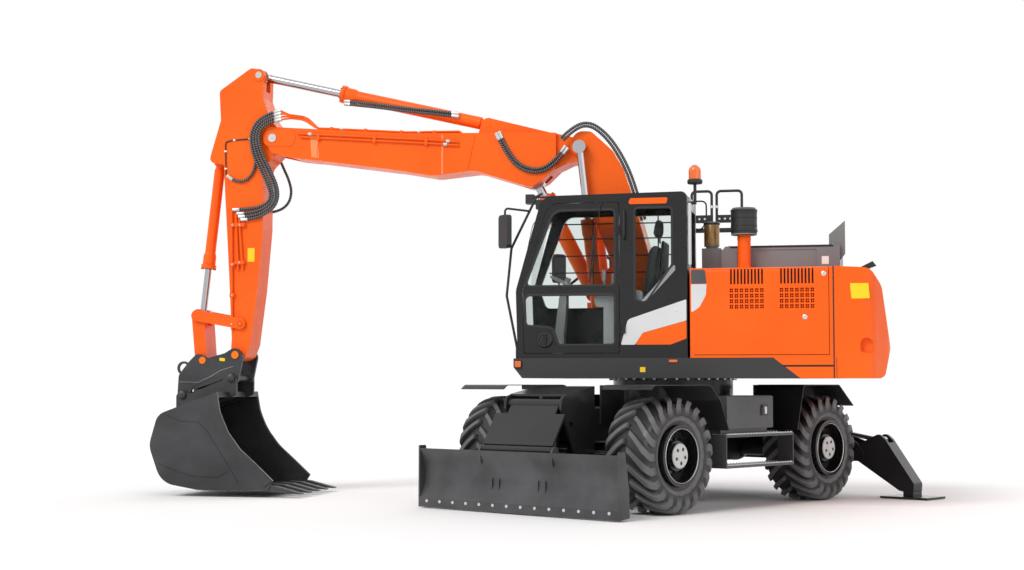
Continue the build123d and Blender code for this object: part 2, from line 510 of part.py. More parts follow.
# ================================================================ platform and body
def platform():
    """Revolving frame: decks each side of an open middle channel, with the boom's brackets."""
    side = [(TAIL_X + 520, PLATFORM_Z0, 0), (TAIL_X + 520, PLATFORM_Z1, 0), (PLATFORM_X1, PLATFORM_Z1, 0),
            (PLATFORM_X1, PLATFORM_Z1 - 90, 0), (PLATFORM_X1 - 90, PLATFORM_Z0, 0)]
    frame = slab_xz(side, -HALF_W, HALF_W)
    back = HOOD_FRONT_X + 10
    frame -= box(back + 30, PLATFORM_X1 + 1, -CHANNEL_HALF, CHANNEL_HALF, PLATFORM_Z0 + 35, PLATFORM_Z1 + 1)
    (fx, fz), (bx, bz) = BOOM_FOOT, BOOM_CYL_BASE
    bracket = [(back, PLATFORM_Z0 + 30, 0), (back, 1850, 0), (fx - 80, fz + 110, 90),
               (fx + 90, fz + 80, 90), (bx - 80, bz + 60, 40), (bx + 75, bz + 60, 60),
               (bx + 110, PLATFORM_Z0 + 30, 0)]
    inner = BOOM_HALF_W + GAP
    ear_y = BOOM_CYL_Y + RAM_EYE_W / 2 + GAP
    ear = [(bx - 110, PLATFORM_Z0 + 30, 0), (bx - 75, bz + 70, 60), (bx + 75, bz + 70, 60),
           (bx + 110, PLATFORM_Z0 + 30, 0)]
    parts = [frame] + both_sides(slab_xz(bracket, inner, inner + BRACKET_T))
    parts += both_sides(slab_xz(ear, ear_y, ear_y + BRACKET_T))
    parts += both_sides(pin_y(BOOM_CYL_BASE, BOOM_CYL_R / 2, inner, ear_y + BRACKET_T + 4))
    parts.append(pin_y(BOOM_FOOT, BOOM_PIN_R, -inner - BRACKET_T - 10, inner + BRACKET_T + 10))
    parts.append(box(back, back + 30, -inner - 2, inner + 2, PLATFORM_Z0, 1850))
    return fuse(parts)


def counterweight():
    """Cast tail weight: rounded in plan, leaning at the back, with a lifting pocket on each side."""
    plan = [(SEAM_X - 4, -HALF_W, 0), (SEAM_X - 4, HALF_W, 0), (TAIL_X + 190, HALF_W, 170),
            (TAIL_X, 900, 300), (TAIL_X, -900, 300), (TAIL_X + 190, -HALF_W, 170)]
    profile = [(SEAM_X - 4, PLATFORM_Z0, 0), (SEAM_X - 4, HOOD_TOP, 0), (TAIL_X + 190, HOOD_TOP - 20, 120),
               (TAIL_X + 80, HOOD_TOP - 190, 200), (TAIL_X, 1600, 150), (TAIL_X + 60, PLATFORM_Z0, 60)]
    block = slab_xy(plan, PLATFORM_Z0, HOOD_TOP) & slab_xz(profile, -HALF_W, HALF_W)
    block -= box(TAIL_X + 515, SEAM_X + 1, -HALF_W - 1, HALF_W + 1, PLATFORM_Z0 - 1, PLATFORM_Z1 + SEAT)
    pocket = [(TAIL_X + 290, 1560, 30), (TAIL_X + 160, 1540, 30), (TAIL_X + 170, 1680, 60),
              (TAIL_X + 290, 1725, 60)]
    for y in (-HALF_W - 1, HALF_W - POCKET):
        block -= slab_xz(pocket, y, y + POCKET + 1)
    return block


def engine_block():
    """The engine as one plain mass inside the hood."""
    return box(-1560, -760, -750, 450, PLATFORM_Z1, 2230)


def hood():
    """Engine housing with rounded top edges, hollow, open on the left for the door."""
    x0, x1, inner = SEAM_X, HOOD_FRONT_X, HALF_W - HOOD_WALL
    rows = [(-HALF_W, PLATFORM_Z1 + SEAT, 0), (HALF_W, PLATFORM_Z1 + SEAT, 0),
            (HALF_W, HOOD_TOP, HOOD_ROUND), (-HALF_W, HOOD_TOP, HOOD_ROUND)]
    shell = slab_yz(rows, x0, x1)
    shell -= box(x0 + HOOD_WALL, x1 - HOOD_WALL, -inner, inner, PLATFORM_Z1 - 1, HOOD_TOP - HOOD_WALL)
    return shell - box(x0 + 40, x1 - 40, HALF_W - DOOR_LIP, HALF_W + 1, PLATFORM_Z1 + 25, HOOD_TOP + 1)


def engine_door():
    """Left service door with its rounded top lip and two grilles of slots over square holes."""
    inner, low = HALF_W - 40, PLATFORM_Z1 + 25 + GAP
    rows = [(inner, low, 0), (HALF_W, low, 0), (HALF_W, HOOD_TOP, HOOD_ROUND),
            (HALF_W - DOOR_LIP + GAP, HOOD_TOP, 0), (HALF_W - DOOR_LIP + GAP, HOOD_TOP - 30, 0),
            (inner, HOOD_TOP - 90, 0)]
    door = slab_yz(rows, SEAM_X + 40 + GAP, ENGINE_DOOR_X1)
    holes = []
    for middle in GRILLES_X:
        for i in range(SLOTS):
            x = middle + (i - (SLOTS - 1) / 2) * SLOT_PITCH
            holes.append(box(x - 9, x + 9, HALF_W - DOOR_LIP, HALF_W + 1, *SLOT_Z))
        for i in range(MESH_NX):
            for j in range(MESH_NZ):
                x = middle + (i - (MESH_NX - 1) / 2) * MESH_PITCH[0]
                z = MESH_Z + (j - (MESH_NZ - 1) / 2) * MESH_PITCH[1]
                holes.append(box(x - MESH_HOLE[0] / 2, x + MESH_HOLE[0] / 2, inner - 1, HALF_W + 1,
                                 z - MESH_HOLE[1] / 2, z + MESH_HOLE[1] / 2))
    return door - holes


def hood_deck():
    """Deck box over the engine with its rear plate, the air intake and the filter bowl."""
    low, floor = (Align.CENTER, Align.CENTER, Align.MIN), HOOD_TOP + SEAT
    deck = slab_xz([(-1790, floor, 0), (-1790, DECK_TOP, 0), (-640, DECK_TOP, 20), (-597, DECK_TOP - 60, 0),
                    (-597, floor, 0)], -1000, DECK_Y)
    deck += slab_xz([(-1682, floor + 50, 0), (-1682, 2757, 0), (-1843, 2897, 0), (-1843, 2560, 0),
                     (-1780, 2480, 0)], DECK_Y - 70, DECK_Y - 50)
    deck -= slab_xz([(-1560, DECK_TOP - 40, 20), (-1560, floor + 30, 20), (-760, floor + 30, 20),
                     (-760, DECK_TOP - 40, 20)], DECK_Y - 8, DECK_Y + 1)
    intake = Pos(0, 0, floor) * Cylinder(64, 360, align=low)
    for z, r, height in ((2754, 130, 262), (2790, 136, 14), (3016, 118, 14)):
        intake += Pos(0, 0, z) * Cylinder(r, height, align=low)
    bowl = box(-590, -395, 560, 740, floor, 2640) + Pos(-490, 650, 2639) * Cylinder(60, 30, align=low)
    bowl += Pos(-490, 650, 2663) * Cylinder(78, 233, align=low)
    bowl += Pos(-490, 650, 2895) * Cylinder(84, 22, align=low)
    return Compound([deck, Pos(*INTAKE, 0) * intake, bowl])


def right_housing():
    """Fuel tank, oil tank and step box on the right of the boom."""
    floor, y0, y1 = PLATFORM_Z1 + SEAT, -HALF_W, -CHANNEL_HALF
    steps = ((HOOD_FRONT_X + SEAT, HOOD_TOP), (560, 2150), (1000, 1800), (1400, 0))
    parts = []
    for (x0, top), (x1, _) in zip(steps, steps[1:]):
        block = box(x0, x1, y0, y1, floor, top)
        parts.append(block - box(x0 + TANK_WALL, x1 - TANK_WALL, y0 + TANK_WALL, y1 - TANK_WALL,
                                 floor - 1, top - TANK_WALL))
    return fuse(parts)


def cab_outline(grow=0):
    """Side outline of the cab (x, z, radius), moved outwards by grow."""
    return [(CAB_X0 - grow, PLATFORM_Z1 + SEAT, 0), (CAB_X0 - grow, CAB_ROOF + grow, max(60 + grow, 0)),
            (ROOF_X1, CAB_ROOF + grow - ROOF_DROP, 150 + grow), (CAB_X1 + 20 + grow, 2200, 200),
            (CAB_X1 + grow, PLATFORM_Z1 + SEAT, 0)]


def cab_shell():
    """Hollow cab with its windows and door opening cut."""
    shell = slab_xz(cab_outline(), CAB_Y0, HALF_W)
    hollow = [(CAB_X0 + CAB_WALL, CAB_FLOOR, 0), (CAB_X0 + CAB_WALL, CAB_ROOF - 70, 40),
              (1150, CAB_ROOF - 80, 130), (CAB_X1 - 30, 2200, 160), (CAB_X1 - 45, CAB_FLOOR, 0)]
    shell -= slab_xz(hollow, CAB_Y0 + CAB_WALL, HALF_W - CAB_WALL)
    shell -= slab_xz(door_rows(-GAP), HALF_W - CAB_WALL - 1, HALF_W + 1)
    shell -= slab_xz(REAR_WINDOW, HALF_W - CAB_WALL - 1, HALF_W + 1)
    shell -= slab_xz(RIGHT_WINDOW, CAB_Y0 - 1, CAB_Y0 + CAB_WALL + 1)
    shell -= box(1000, CAB_X1 + 60, CAB_Y0 + CAB_WALL, HALF_W - CAB_WALL, 1680, 2960)
    shell -= box(CAB_X0 - 1, CAB_X0 + CAB_WALL + 1, CAB_Y0 + 90, HALF_W - 90, 2440, 3020)
    x, y = CAB_HINGE_X, HALF_W + CAB_HINGE_OUT
    for z in HINGE_Z:
        shell += box(x - 60, x - 22, HALF_W - 1, y + 4, z - 45, z + 45)
        for low, high in ((z - 45, z - 25), (z + 25, z + 45)):
            shell += Pos(x, y, (low + high) / 2) * Cylinder(11, high - low)
            shell += box(x - 30, x, y - 8, y + 4, low, high)
        shell += Pos(x, y, z) * Cylinder(6, 60)
    return shell


def door_rows(shrink=0):
    """Outline of the cab door (x, z, radius)."""
    return [(DOOR_X0 + shrink, 1560 + shrink, 20), (DOOR_X0 + shrink, 3080 - shrink, 20),
            (1120, 3080 - shrink, 150), (CAB_X1 - 55 - shrink, 2200, 160),
            (CAB_X1 - 70 - shrink, 1560 + shrink, 20)]


def cab_door():
    """Cab door with its upper and lower window."""
    door = slab_xz(door_rows(), HALF_W - CAB_WALL, HALF_W)
    for rows in (DOOR_WINDOW, DOOR_LOW_WINDOW):
        door -= slab_xz(rows, HALF_W - CAB_WALL - 1, HALF_W + 1)
    x, y = CAB_HINGE_X, HALF_W + CAB_HINGE_OUT
    for z in HINGE_Z:
        door += Pos(x, y, z) * Cylinder(11, 50 - 2 * SEAT)
        door += box(x, DOOR_X0 + 40, HALF_W, y + 4, z - 25 + SEAT, z + 25 - SEAT)
        door -= Pos(x, y, z) * Cylinder(6 + FIT, 60)
    return door + pin_y(DOOR_LATCH, 32, HALF_W - 1, HALF_W + 16)


def pane(rows, y):
    """Glass in a window outline of a side wall, a little smaller than its opening."""
    sheet = offset(face_of(rows), -SEAT)
    return Pos(0, y + GLASS_T, 0) * Rot(90, 0, 0) * extrude(sheet, GLASS_T)


def cab_glass():
    """Fixed panes of the cab."""
    y_mid = HALF_W - CAB_WALL / 2
    panes = [pane(REAR_WINDOW, y_mid), pane(RIGHT_WINDOW, CAB_Y0 + CAB_WALL / 2)]
    front = [(CAB_X1 - 12, 1690, 0), (CAB_X1 - 3, 2200, 150), (1290, 2870, 60), (1230, 2950, 0)]
    line = FilletPolyline(*[(a, b) for a, b, r in front], radius=[150, 60])
    sheet = make_face(offset(line, GLASS_T / 2, side=Side.BOTH))
    y0, y1 = CAB_Y0 + CAB_WALL + SEAT, HALF_W - CAB_WALL - SEAT
    panes.append(Pos(0, y1, 0) * Rot(90, 0, 0) * extrude(sheet, y1 - y0))
    x = CAB_X0 + CAB_WALL / 2
    panes.append(box(x, x + GLASS_T, CAB_Y0 + 90 + SEAT, HALF_W - 90 - SEAT, 2440 + SEAT, 3020 - SEAT))
    return Compound(panes)


def door_glass():
    """Panes of the cab door."""
    y = HALF_W - CAB_WALL / 2
    return Compound([pane(DOOR_WINDOW, y), pane(DOOR_LOW_WINDOW, y)])


def seat():
    """Driver's seat: base, cushion, back and headrest."""
    y, half = SEAT_Y, CONSOLE_Y - 65
    base = box(150, 560, y - half + 50, y + half - 50, CAB_FLOOR + SEAT, 1950)
    cushion = slab_xz([(110, 1945, 30), (110, 2060, 30), (620, 2090, 50), (620, 1960, 50)], y - half,
                      y + half)
    back = slab_xz([(70, 2040, 20), (212, 2050, 20), (130, 2500, 100), (90, 2700, 40), (-10, 2700, 40)],
                   y - half + 10, y + half - 10)
    head = slab_xz([(0, 2720, 20), (90, 2720, 20), (60, 2950, 40), (-20, 2950, 40)], y - 130, y + 130)
    return base + cushion + back + head + box(20, 60, y - 60, y + 60, 2690, 2730)


def console():
    """Side consoles with levers and the steering column."""
    parts = []
    for y in (SEAT_Y - CONSOLE_Y, SEAT_Y + CONSOLE_Y):
        pad = [(160, 2010, 30), (160, 2190, 30), (520, 2190, 60), (660, 2120, 30), (640, 2030, 30)]
        arm = slab_xz(pad, y - 55, y + 55) + box(250, 560, y - 50, y + 50, CAB_FLOOR + SEAT, 2030)
        arm += Pos(560, y, 2240) * Cylinder(11, 200) + Pos(560, y, 2350) * Cylinder(22, 110)
        parts.append(arm)
    column = slab_xz([(1040, CAB_FLOOR + SEAT, 0), (990, 2230, 20), (1060, 2250, 20),
                      (1150, CAB_FLOOR + SEAT, 0)], SEAT_Y - 60, SEAT_Y + 60)
    wheel = Torus(170, 16) + Cylinder(30, 130) + Box(340, 30, 12) + Box(30, 340, 12)
    return Compound(parts + [column + Pos(1010, SEAT_Y, 2290) * Rot(0, -25, 0) * wheel])


def rails_and_lamps():
    """Guard rod, hand rails, mirrors on their arms, beacon, work lamps, marker lamps and rear camera."""
    x, floor = CAB_X1 + 22, HOOD_TOP + SEAT
    guard = bar([(x, RAIL_Y, PLATFORM_Z1 + SEAT), (x, RAIL_Y, 1620), (x + 108, RAIL_Y, 2150),
                 (x + 58, RAIL_Y, 2640), (1250, RAIL_Y, 3170), (1190, RAIL_Y, CAB_ROOF + 20)], 13)
    guard += bar([(1325, RAIL_Y, 3020), (1550, RAIL_Y + 150, 3040), (1550, RAIL_Y + 150, 2640)], 11)
    steps = bar([(1370, 90 - HALF_W, 1800 + SEAT), (1370, 90 - HALF_W, 2380), (860, 90 - HALF_W, 2760),
                 (860, 90 - HALF_W, 2150 + SEAT)], 16)
    steps += bar([(1370, 90 - HALF_W, 2330), (1500, -60 - HALF_W, 2380), (1500, -60 - HALF_W, 2720)], 11)
    head = slab_yz([(-95, -170, 40), (95, -170, 40), (95, 170, 40), (-95, 170, 40)], -28, 28)
    guard += Pos(1550, RAIL_Y + 150, 2800) * Rot(0, 0, 40) * head
    steps += Pos(1500, -60 - HALF_W, 2600) * Rot(0, 0, -30) * head
    hoops = [bar([(x0, HOOP_Y, floor), (x0, HOOP_Y, HOOP_TOP), (x1, HOOP_Y, HOOP_TOP),
                  (x1, HOOP_Y, foot + SEAT)], 15) + box(x1, x0, HOOP_Y - 8, HOOP_Y + 8, HOOP_TOP - 460,
                                                        HOOP_TOP - 410) for x0, x1, foot in HOOPS]
    dome = Pos(0, 0, 3330) * Cylinder(62, 95, align=(Align.CENTER, Align.CENTER, Align.MIN))
    dome += Pos(0, 0, 3425) * Sphere(62)
    beacon = Pos(CAB_X0 - 46, 900, 0) * (Pos(0, 0, 3210) * Cylinder(16, 250) + dome)
    beacon += box(CAB_X0 - 60, CAB_X0 - SEAT, 885, 915, 3080, 3110)
    foot_x = ROOF_X1 - 180
    foot_z = CAB_ROOF - ROOF_DROP * (foot_x - CAB_X0) / (ROOF_X1 - CAB_X0) + SEAT
    lights = [box(foot_x, 1310, y - 15, y + 15, foot_z, foot_z + 18)
              + box(1300, 1385, y - 58, y + 58, CAB_ROOF - 72, CAB_ROOF + 25) for y in LAMP_Y]
    side = HALF_W + SEAT
    markers = [box(1395, 1465, side, side + 20, 1412, 1482), box(-200, -110, side, side + 6, 1460, 1492)]
    camera = box(-2010, -1950, 270, 330, HOOD_TOP - 12 + SEAT, HOOD_TOP + 30)
    camera += slab_xz([(-1950, HOOD_TOP + 8, 0), (-1950, HOOD_TOP + 30, 0), (-2110, HOOD_TOP + 110, 0),
                       (-2150, HOOD_TOP + 60, 0), (-2010, HOOD_TOP + 8, 0)], 290, 310)
    return Compound([guard, steps, beacon, camera] + hoops + lights + markers)


# ================================================================ boom, arm and bucket
def base_boom():
    """Lower boom: box of two side plates with an open fork at its top."""
    (fx, fz), (hx, hz) = BOOM_FOOT, BOOM_HINGE
    rows = [(fx - 110, fz - 20, 90), (fx + 20, fz - 120, 90), (fx + 150, fz - 40, 60), (690, 2700, 200),
            (920, 3290, 80), (920, 3650, 40), (hx + 150, hz, 100), (hx + 60, hz + 190, 120),
            (hx - 110, hz + 180, 90), (625, 3770, 120), (500, 3560, 150), (400, 3250, 200),
            (190, 2500, 300)]
    outer = slab_xz(rows, -BOOM_HALF_W, BOOM_HALF_W)
    inner = [(fx + 60, 2230, 40), (600, 2700, 200), (830, 3290, 80), (850, 3480, 20), (hx + 200, 3480, 0),
             (hx + 200, hz + 250, 0), (hx - 260, hz + 250, 0), (590, 3560, 60), (480, 3250, 200),
             (270, 2500, 200)]
    half = BOOM_HALF_W - FORK_PLATE
    outer -= slab_xz(inner, -half, half)
    outer -= pin_y(BOOM_FOOT, BOOM_PIN_R + FIT, -BOOM_HALF_W - 1, BOOM_HALF_W + 1)
    bx, bz = POS_CYL_BASE
    ear = [(fx + 100, fz + 60, 0), (bx - 20, bz - 100, 80), (bx + 90, bz, 60), (bx + 10, bz + 95, 80),
           (620, 2560, 0)]
    ear_y = POS_EYE_W / 2 + GAP
    parts = [outer] + both_sides(slab_xz(ear, ear_y, ear_y + 30))
    parts.append(pin_y(POS_CYL_BASE, POS_CYL_R / 2, -ear_y - 35, ear_y + 35))
    parts.append(pin_y(BOOM_HINGE, BOOM_PIN_R, -BOOM_HALF_W - 4, BOOM_HALF_W + 4))
    return fuse(parts)


def upper_boom():
    """Upper boom: long tapering box with a nose fork, a tail boss and a ram bracket."""
    (hx, hz), (px, pz) = BOOM_HINGE, ARM_PIVOT
    rows = [(px + 110, pz + 40, 80), (px + 60, pz + 130, 60), (3950, 4110, 200), (2950, 4030, 0),
            (1500, 3990, 0), (1240, 3980, 0), (1240, 3600, 0),
            (POS_CYL_TOP[0] - 100, POS_CYL_TOP[1] - 5, 60),
            (POS_CYL_TOP[0] + 40, POS_CYL_TOP[1] - 75, 80), (2150, 3590, 300), (2640, 3545, 300),
            (3010, 3615, 0), (3980, 3757, 100), (4250, 3790, 100), (px + 20, pz - 170, 100)]
    boom = slab_xz(rows, -BOOM_HALF_W, BOOM_HALF_W)
    tail = [(1300, 3990, 0), (hx + 60, hz + 120, 100), (hx - 130, hz + 60, 100), (hx - 60, hz - 120, 100),
            (1100, 3650, 0), (1300, 3560, 0)]
    boom += slab_xz(tail, -TAIL_HALF_W, TAIL_HALF_W)
    (cx, cz) = ARM_CYL_BASE
    fin = [(cx + 120, 3980, 0), (cx + 75, cz - 10, 60), (cx + 30, cz + 72, 50), (cx - 60, cz + 55, 50),
           (1228, 3975, 0), (1228, 3900, 0)]
    ear_y = ARM_EYE_W / 2 + GAP
    boom = fuse([boom] + both_sides(slab_xz(fin, ear_y, ear_y + 30)))
    slot = [(px - 250, 3500, 0), (px - 250, 4400, 0), (px + 300, 4400, 0), (px + 300, 3500, 0)]
    boom -= slab_xz(slot, -ARM_HALF_W - GAP, ARM_HALF_W + GAP)
    boom -= pin_y(BOOM_HINGE, BOOM_PIN_R + FIT, -BOOM_HALF_W, BOOM_HALF_W)
    well = [(POS_CYL_TOP[0] - 190, 3300, 0), (POS_CYL_TOP[0] - 160, 3640, 90),
            (POS_CYL_TOP[0] + 120, 3640, 90), (POS_CYL_TOP[0] + 150, 3300, 0)]
    boom -= slab_xz(well, -POS_EYE_W / 2 - GAP, POS_EYE_W / 2 + GAP)
    boom += pin_y(ARM_CYL_BASE, ARM_CYL_R / 2, -ear_y - 35, ear_y + 35)
    boom = fuse([boom] + both_sides(pin_y(ARM_PIVOT, 95, ARM_HALF_W + GAP, BOOM_HALF_W + 8)))
    return boom + pin_y(ARM_PIVOT, BOOM_PIN_R, -BOOM_HALF_W - 12, BOOM_HALF_W + 12)


def arm():
    """Arm (stick): tapering box with the ram lug on top and the bucket ram's bracket."""
    px, pz = ARM_PIVOT
    rows = [(px - 130, pz + 20, 90), (px - 60, pz - 150, 90), (4640, 3700, 150), (4640, 3000, 300),
            (4700, 2300, 0), (4780, 1680, 60), (BUCKET_PIN[0] - 90, BUCKET_PIN[1] - 20, 60),
            (BUCKET_PIN[0] + 20, BUCKET_PIN[1] - 95, 70), (BUCKET_PIN[0] + 90, BUCKET_PIN[1] + 10, 60),
            (5000, 1760, 40), (5040, 2500, 0), (5120, 3750, 0),
            (BUCKET_CYL_BASE[0] + 80, BUCKET_CYL_BASE[1] - 20, 60),
            (BUCKET_CYL_BASE[0] + 50, BUCKET_CYL_BASE[1] + 90, 60), (5160, 4260, 80), (5180, 4600, 60),
            (4800, 4850, 60), (ARM_CYL_TOP[0] - 60, ARM_CYL_TOP[1] + 60, 60), (4650, 4500, 60),
            (4560, 4250, 100)]
    body = slab_xz(rows, -ARM_HALF_W, ARM_HALF_W)
    body -= pin_y(ARM_PIVOT, BOOM_PIN_R + FIT, -ARM_HALF_W - 1, ARM_HALF_W + 1)
    (cx, cz), (bx, bz) = ARM_CYL_TOP, BUCKET_CYL_BASE
    slot = [(cx - 202, cz - 205, 0), (cx - 202, cz + 185, 0), (cx + 300, cz + 185, 0),
            (cx + 275, cz + 20, 60), (cx + 20, cz - 165, 60)]
    body -= slab_xz(slot, -ARM_EYE_W / 2 - GAP, ARM_EYE_W / 2 + GAP)
    front = [(bx - 131, bz + 200, 0), (bx + 179, bz + 200, 0), (bx + 179, bz - 300, 0),
             (bx - 161, bz - 300, 0)]
    body -= slab_xz(front, -BUCKET_CYL_R - GAP, BUCKET_CYL_R + GAP)
    body = fuse([body] + both_sides(pin_y(BUCKET_PIN, 65, ARM_HALF_W, ARM_HALF_W + 20)))
    body += bosses(ARM_CYL_TOP, 70, ARM_HALF_W, 10)
    body += pin_y(BUCKET_CYL_BASE, BUCKET_CYL_R / 2, -ARM_HALF_W - 4, ARM_HALF_W + 4)
    body += pin_y(IDLER_PIN, IDLER_PIN_R, -ARM_HALF_W - GAP - IDLER_T - 8, ARM_HALF_W + GAP + IDLER_T + 8)
    return body + pin_y(BUCKET_PIN, BUCKET_PIN_R, -COUPLER_OUT - 8, COUPLER_OUT + 8)


def idler_links():
    """Pair of bars from the arm to the top of the bucket link."""
    y0 = ARM_HALF_W + GAP
    rows = bone(IDLER_PIN, LINK_TOP, 62, 62)
    bars = slab_xz(rows, y0, y0 + IDLER_T)
    bars -= pin_y(IDLER_PIN, IDLER_PIN_R + FIT, y0 - 1, y0 + IDLER_T + 1)
    bars += pin_y(LINK_TOP, IDLER_PIN_R, LINK_IN, y0 + 1)
    return Compound(both_sides(bars))


def bone(p, q, r_p, r_q):
    """Outline of a bar with rounded ends about the points p and q."""
    length = hypot(q[0] - p[0], q[1] - p[1])
    u = ((q[0] - p[0]) / length, (q[1] - p[1]) / length)
    n = (-u[1], u[0])
    rows = []
    for at, r, out, side in ((p, r_p, -1, 1), (q, r_q, 1, 1), (q, r_q, 1, -1), (p, r_p, -1, -1)):
        rows.append((at[0] + out * r * u[0] + side * r * n[0], at[1] + out * r * u[1] + side * r * n[1],
                     0.98 * r))
    return rows


def bucket_link():
    """Heavy link from the bucket ram's pin to the coupler: two cheeks over the ram's eye."""
    body = slab_xz(bone(LINK_TOP, LINK_LOW, 75, 70), -LINK_OUT, LINK_OUT)
    gap = [(LINK_TOP[0] - 200, LINK_TOP[1] - 110, 0), (LINK_TOP[0] + 200, LINK_TOP[1] - 110, 0),
           (LINK_TOP[0] + 200, LINK_TOP[1] + 200, 0), (LINK_TOP[0] - 200, LINK_TOP[1] + 200, 0)]
    body -= slab_xz(gap, -LINK_IN, LINK_IN)
    body += pin_y(LINK_LOW, IDLER_PIN_R, -COUPLER_IN + GAP, COUPLER_IN - GAP)
    return body - pin_y(LINK_TOP, IDLER_PIN_R + FIT, -LINK_OUT - 1, LINK_OUT + 1)


def coupler():
    """Quick coupler: two cheeks with a bridge, between arm and bucket."""
    (kx, kz), (lx, lz) = BUCKET_PIN, LINK_LOW
    (fx, fz), (rx, rz) = COUPLER_FRONT, COUPLER_REAR
    rows = [(kx - 95, kz, 80), (kx, kz + 95, 80), (kx + 130, kz + 20, 60), (lx - 120, lz + 30, 60),
            (lx, lz + 95, 80), (lx + 100, lz, 80), (rx + 60, rz + 230, 90), (rx + 75, rz - 30, 60),
            (rx - 60, rz - 60, 50), (rx - 110, rz + 100, 80), (fx + 150, fz + 20, 80),
            (fx + 60, fz - 70, 50), (fx - 70, fz - 50, 50)]
    parts = both_sides(slab_xz(rows, COUPLER_IN, COUPLER_OUT))
    bridge = [(fx + 60, fz + 20, 0), (lx - 120, lz - 170, 0), (lx + 40, lz - 170, 0),
              (rx - 60, rz + 120, 20), (rx - 110, rz + 60, 30), (fx + 150, fz - 30, 0)]
    parts.append(slab_xz(bridge, -COUPLER_OUT + 5, COUPLER_OUT - 5))
    body = fuse(parts)
    for point in (BUCKET_PIN, ):
        body -= pin_y(point, BUCKET_PIN_R + FIT, -COUPLER_OUT - 1, COUPLER_OUT + 1)
    for point in (COUPLER_FRONT, COUPLER_REAR):
        body += pin_y(point, 38, -COUPLER_OUT, COUPLER_OUT)
    return body


def bucket():
    """Digging bucket: curved shell between side plates, with teeth and hanger ears."""
    shell = [(4984, 1156, 0), (5433, 1000, 60), (5690, 905, 160), (5790, 560, 240), (5640, 150, 260),
             (5200, 75, 150), (4380, 80, 0), (4318, 186, 0), (4494, 347, 40), (4706, 531, 40),
             (4849, 716, 100), (4946, 936, 60)]
    body = slab_xz(shell, -BUCKET_HALF_W, BUCKET_HALF_W)
    inside = [(5010, 1110, 0), (5420, 970, 50), (5655, 885, 140), (5755, 560, 210), (5620, 185, 230),
              (5200, 108, 130), (4300, 112, 0), (4200, 150, 0), (4400, 600, 0), (4700, 1000, 0)]
    body -= slab_xz(inside, -BUCKET_HALF_W + 20, BUCKET_HALF_W - 20)
    ear_y = COUPLER_OUT + SEAT
    (fx, fz), (rx, rz) = COUPLER_FRONT, COUPLER_REAR
    ear = [(fx - 70, fz - 190, 0), (fx - 70, fz, 60), (fx, fz + 75, 60), (fx + 90, fz - 20, 60),
           (rx - 80, rz + 10, 60), (rx, rz + 75, 60), (rx + 75, rz, 60), (rx + 70, rz - 240, 0)]
    band = [(4330, 180, 0), (4494, 347, 60), (4706, 531, 60), (4849, 716, 100), (4946, 936, 60),
            (4984, 1156, 0), (5064, 1130, 0), (5030, 925, 60), (4930, 680, 100), (4770, 470, 60),
            (4560, 280, 60), (4420, 120, 0)]
    strip = [(5590, 124, 0), (5210, 62, 150), (4820, 66, 0), (4820, 80, 0), (5200, 76, 150), (5590, 138, 0)]
    parts = [body]
    parts += both_sides(slab_xz(band, BUCKET_HALF_W - 1, BUCKET_HALF_W + 14))
    parts += [slab_xz(strip, y - 45, y + 45) for y in (-420, 0, 420)]
    parts += both_sides(slab_xz(ear, ear_y, ear_y + 30))
    for i in range(TEETH):
        y = (i - (TEETH - 1) / 2) * (2 * BUCKET_HALF_W - 110) / (TEETH - 1)
        tooth = [(4440, 70, 0), (4440, 135, 0), (4300, 128, 0), (3995, 52, 0), (3995, 42, 0), (4300, 60, 0)]
        parts.append(slab_xz(tooth, y - 45, y + 45))
    return fuse(parts)


def boom_rams():
    """Pair of boom cylinders: barrels and rods."""
    pair = ram(BOOM_CYL_BASE, BOOM_HINGE, BOOM_CYL_SHORT, BOOM_CYL_R, BOOM_ROD_R, RAM_EYE_W)
    return [Compound([Pos(0, y, 0) * piece for y in (-BOOM_CYL_Y, BOOM_CYL_Y)]) for piece in pair]


# ================================================================ hoses
def hose(points):
    """Hose of straight runs and arcs as large as the runs allow; prints its arc radii and length."""
    radii = []
    for a, b, c in zip(points, points[1:], points[2:]):
        back, ahead = Vector(*b) - Vector(*a), Vector(*c) - Vector(*b)
        turn = radians(back.get_angle(ahead))
        radii.append(0.45 * min(back.length, ahead.length) / tan(turn / 2))
    line = FilletPolyline(*points, radius=radii)
    print("hose", round(line.length), "mm, arc radii", [round(r) for r in radii])
    return sweep(Plane(origin=line @ 0, z_dir=line % 0) * Circle(HOSE_R), path=line)


def beside(points, gap):
    """The route moved sideways in its XZ plane by gap, for the next hose of a bundle."""
    moved = []
    for i, (x, y, z) in enumerate(points):
        a, b = points[max(i - 1, 0)], points[min(i + 1, len(points) - 1)]
        run = hypot(b[0] - a[0], b[2] - a[2])
        moved.append((x - gap * (b[2] - a[2]) / run, y, z + gap * (b[0] - a[0]) / run))
    return moved


def boom_hoses():
    """Hoses from the arm cylinder's bracket that sag along the upper boom's left side."""
    y = BOOM_HALF_W + HOSE_R + SEAT
    route = [(1870, y, 4000), (1745, y, 3740), (1590, y, 3605), (1410, y, 3575), (1250, y, 3670),
             (1135, y, 3820)]
    return Compound([hose(route), hose(beside(route, 2 * HOSE_R + 3))])


def base_boom_hoses():
    """Hoses over the boom hinge and down the edge of the base boom's back."""
    route = [(1150, 262, 3880), (1010, 262, 4010), (870, 232, 4045), (740, 192, 3960), (608, 183, 3800),
             (481, 183, 3570), (383, 183, 3290), (303, 183, 3000)]
    return Compound([hose(route), hose(beside(route, -2 * HOSE_R - 3))])


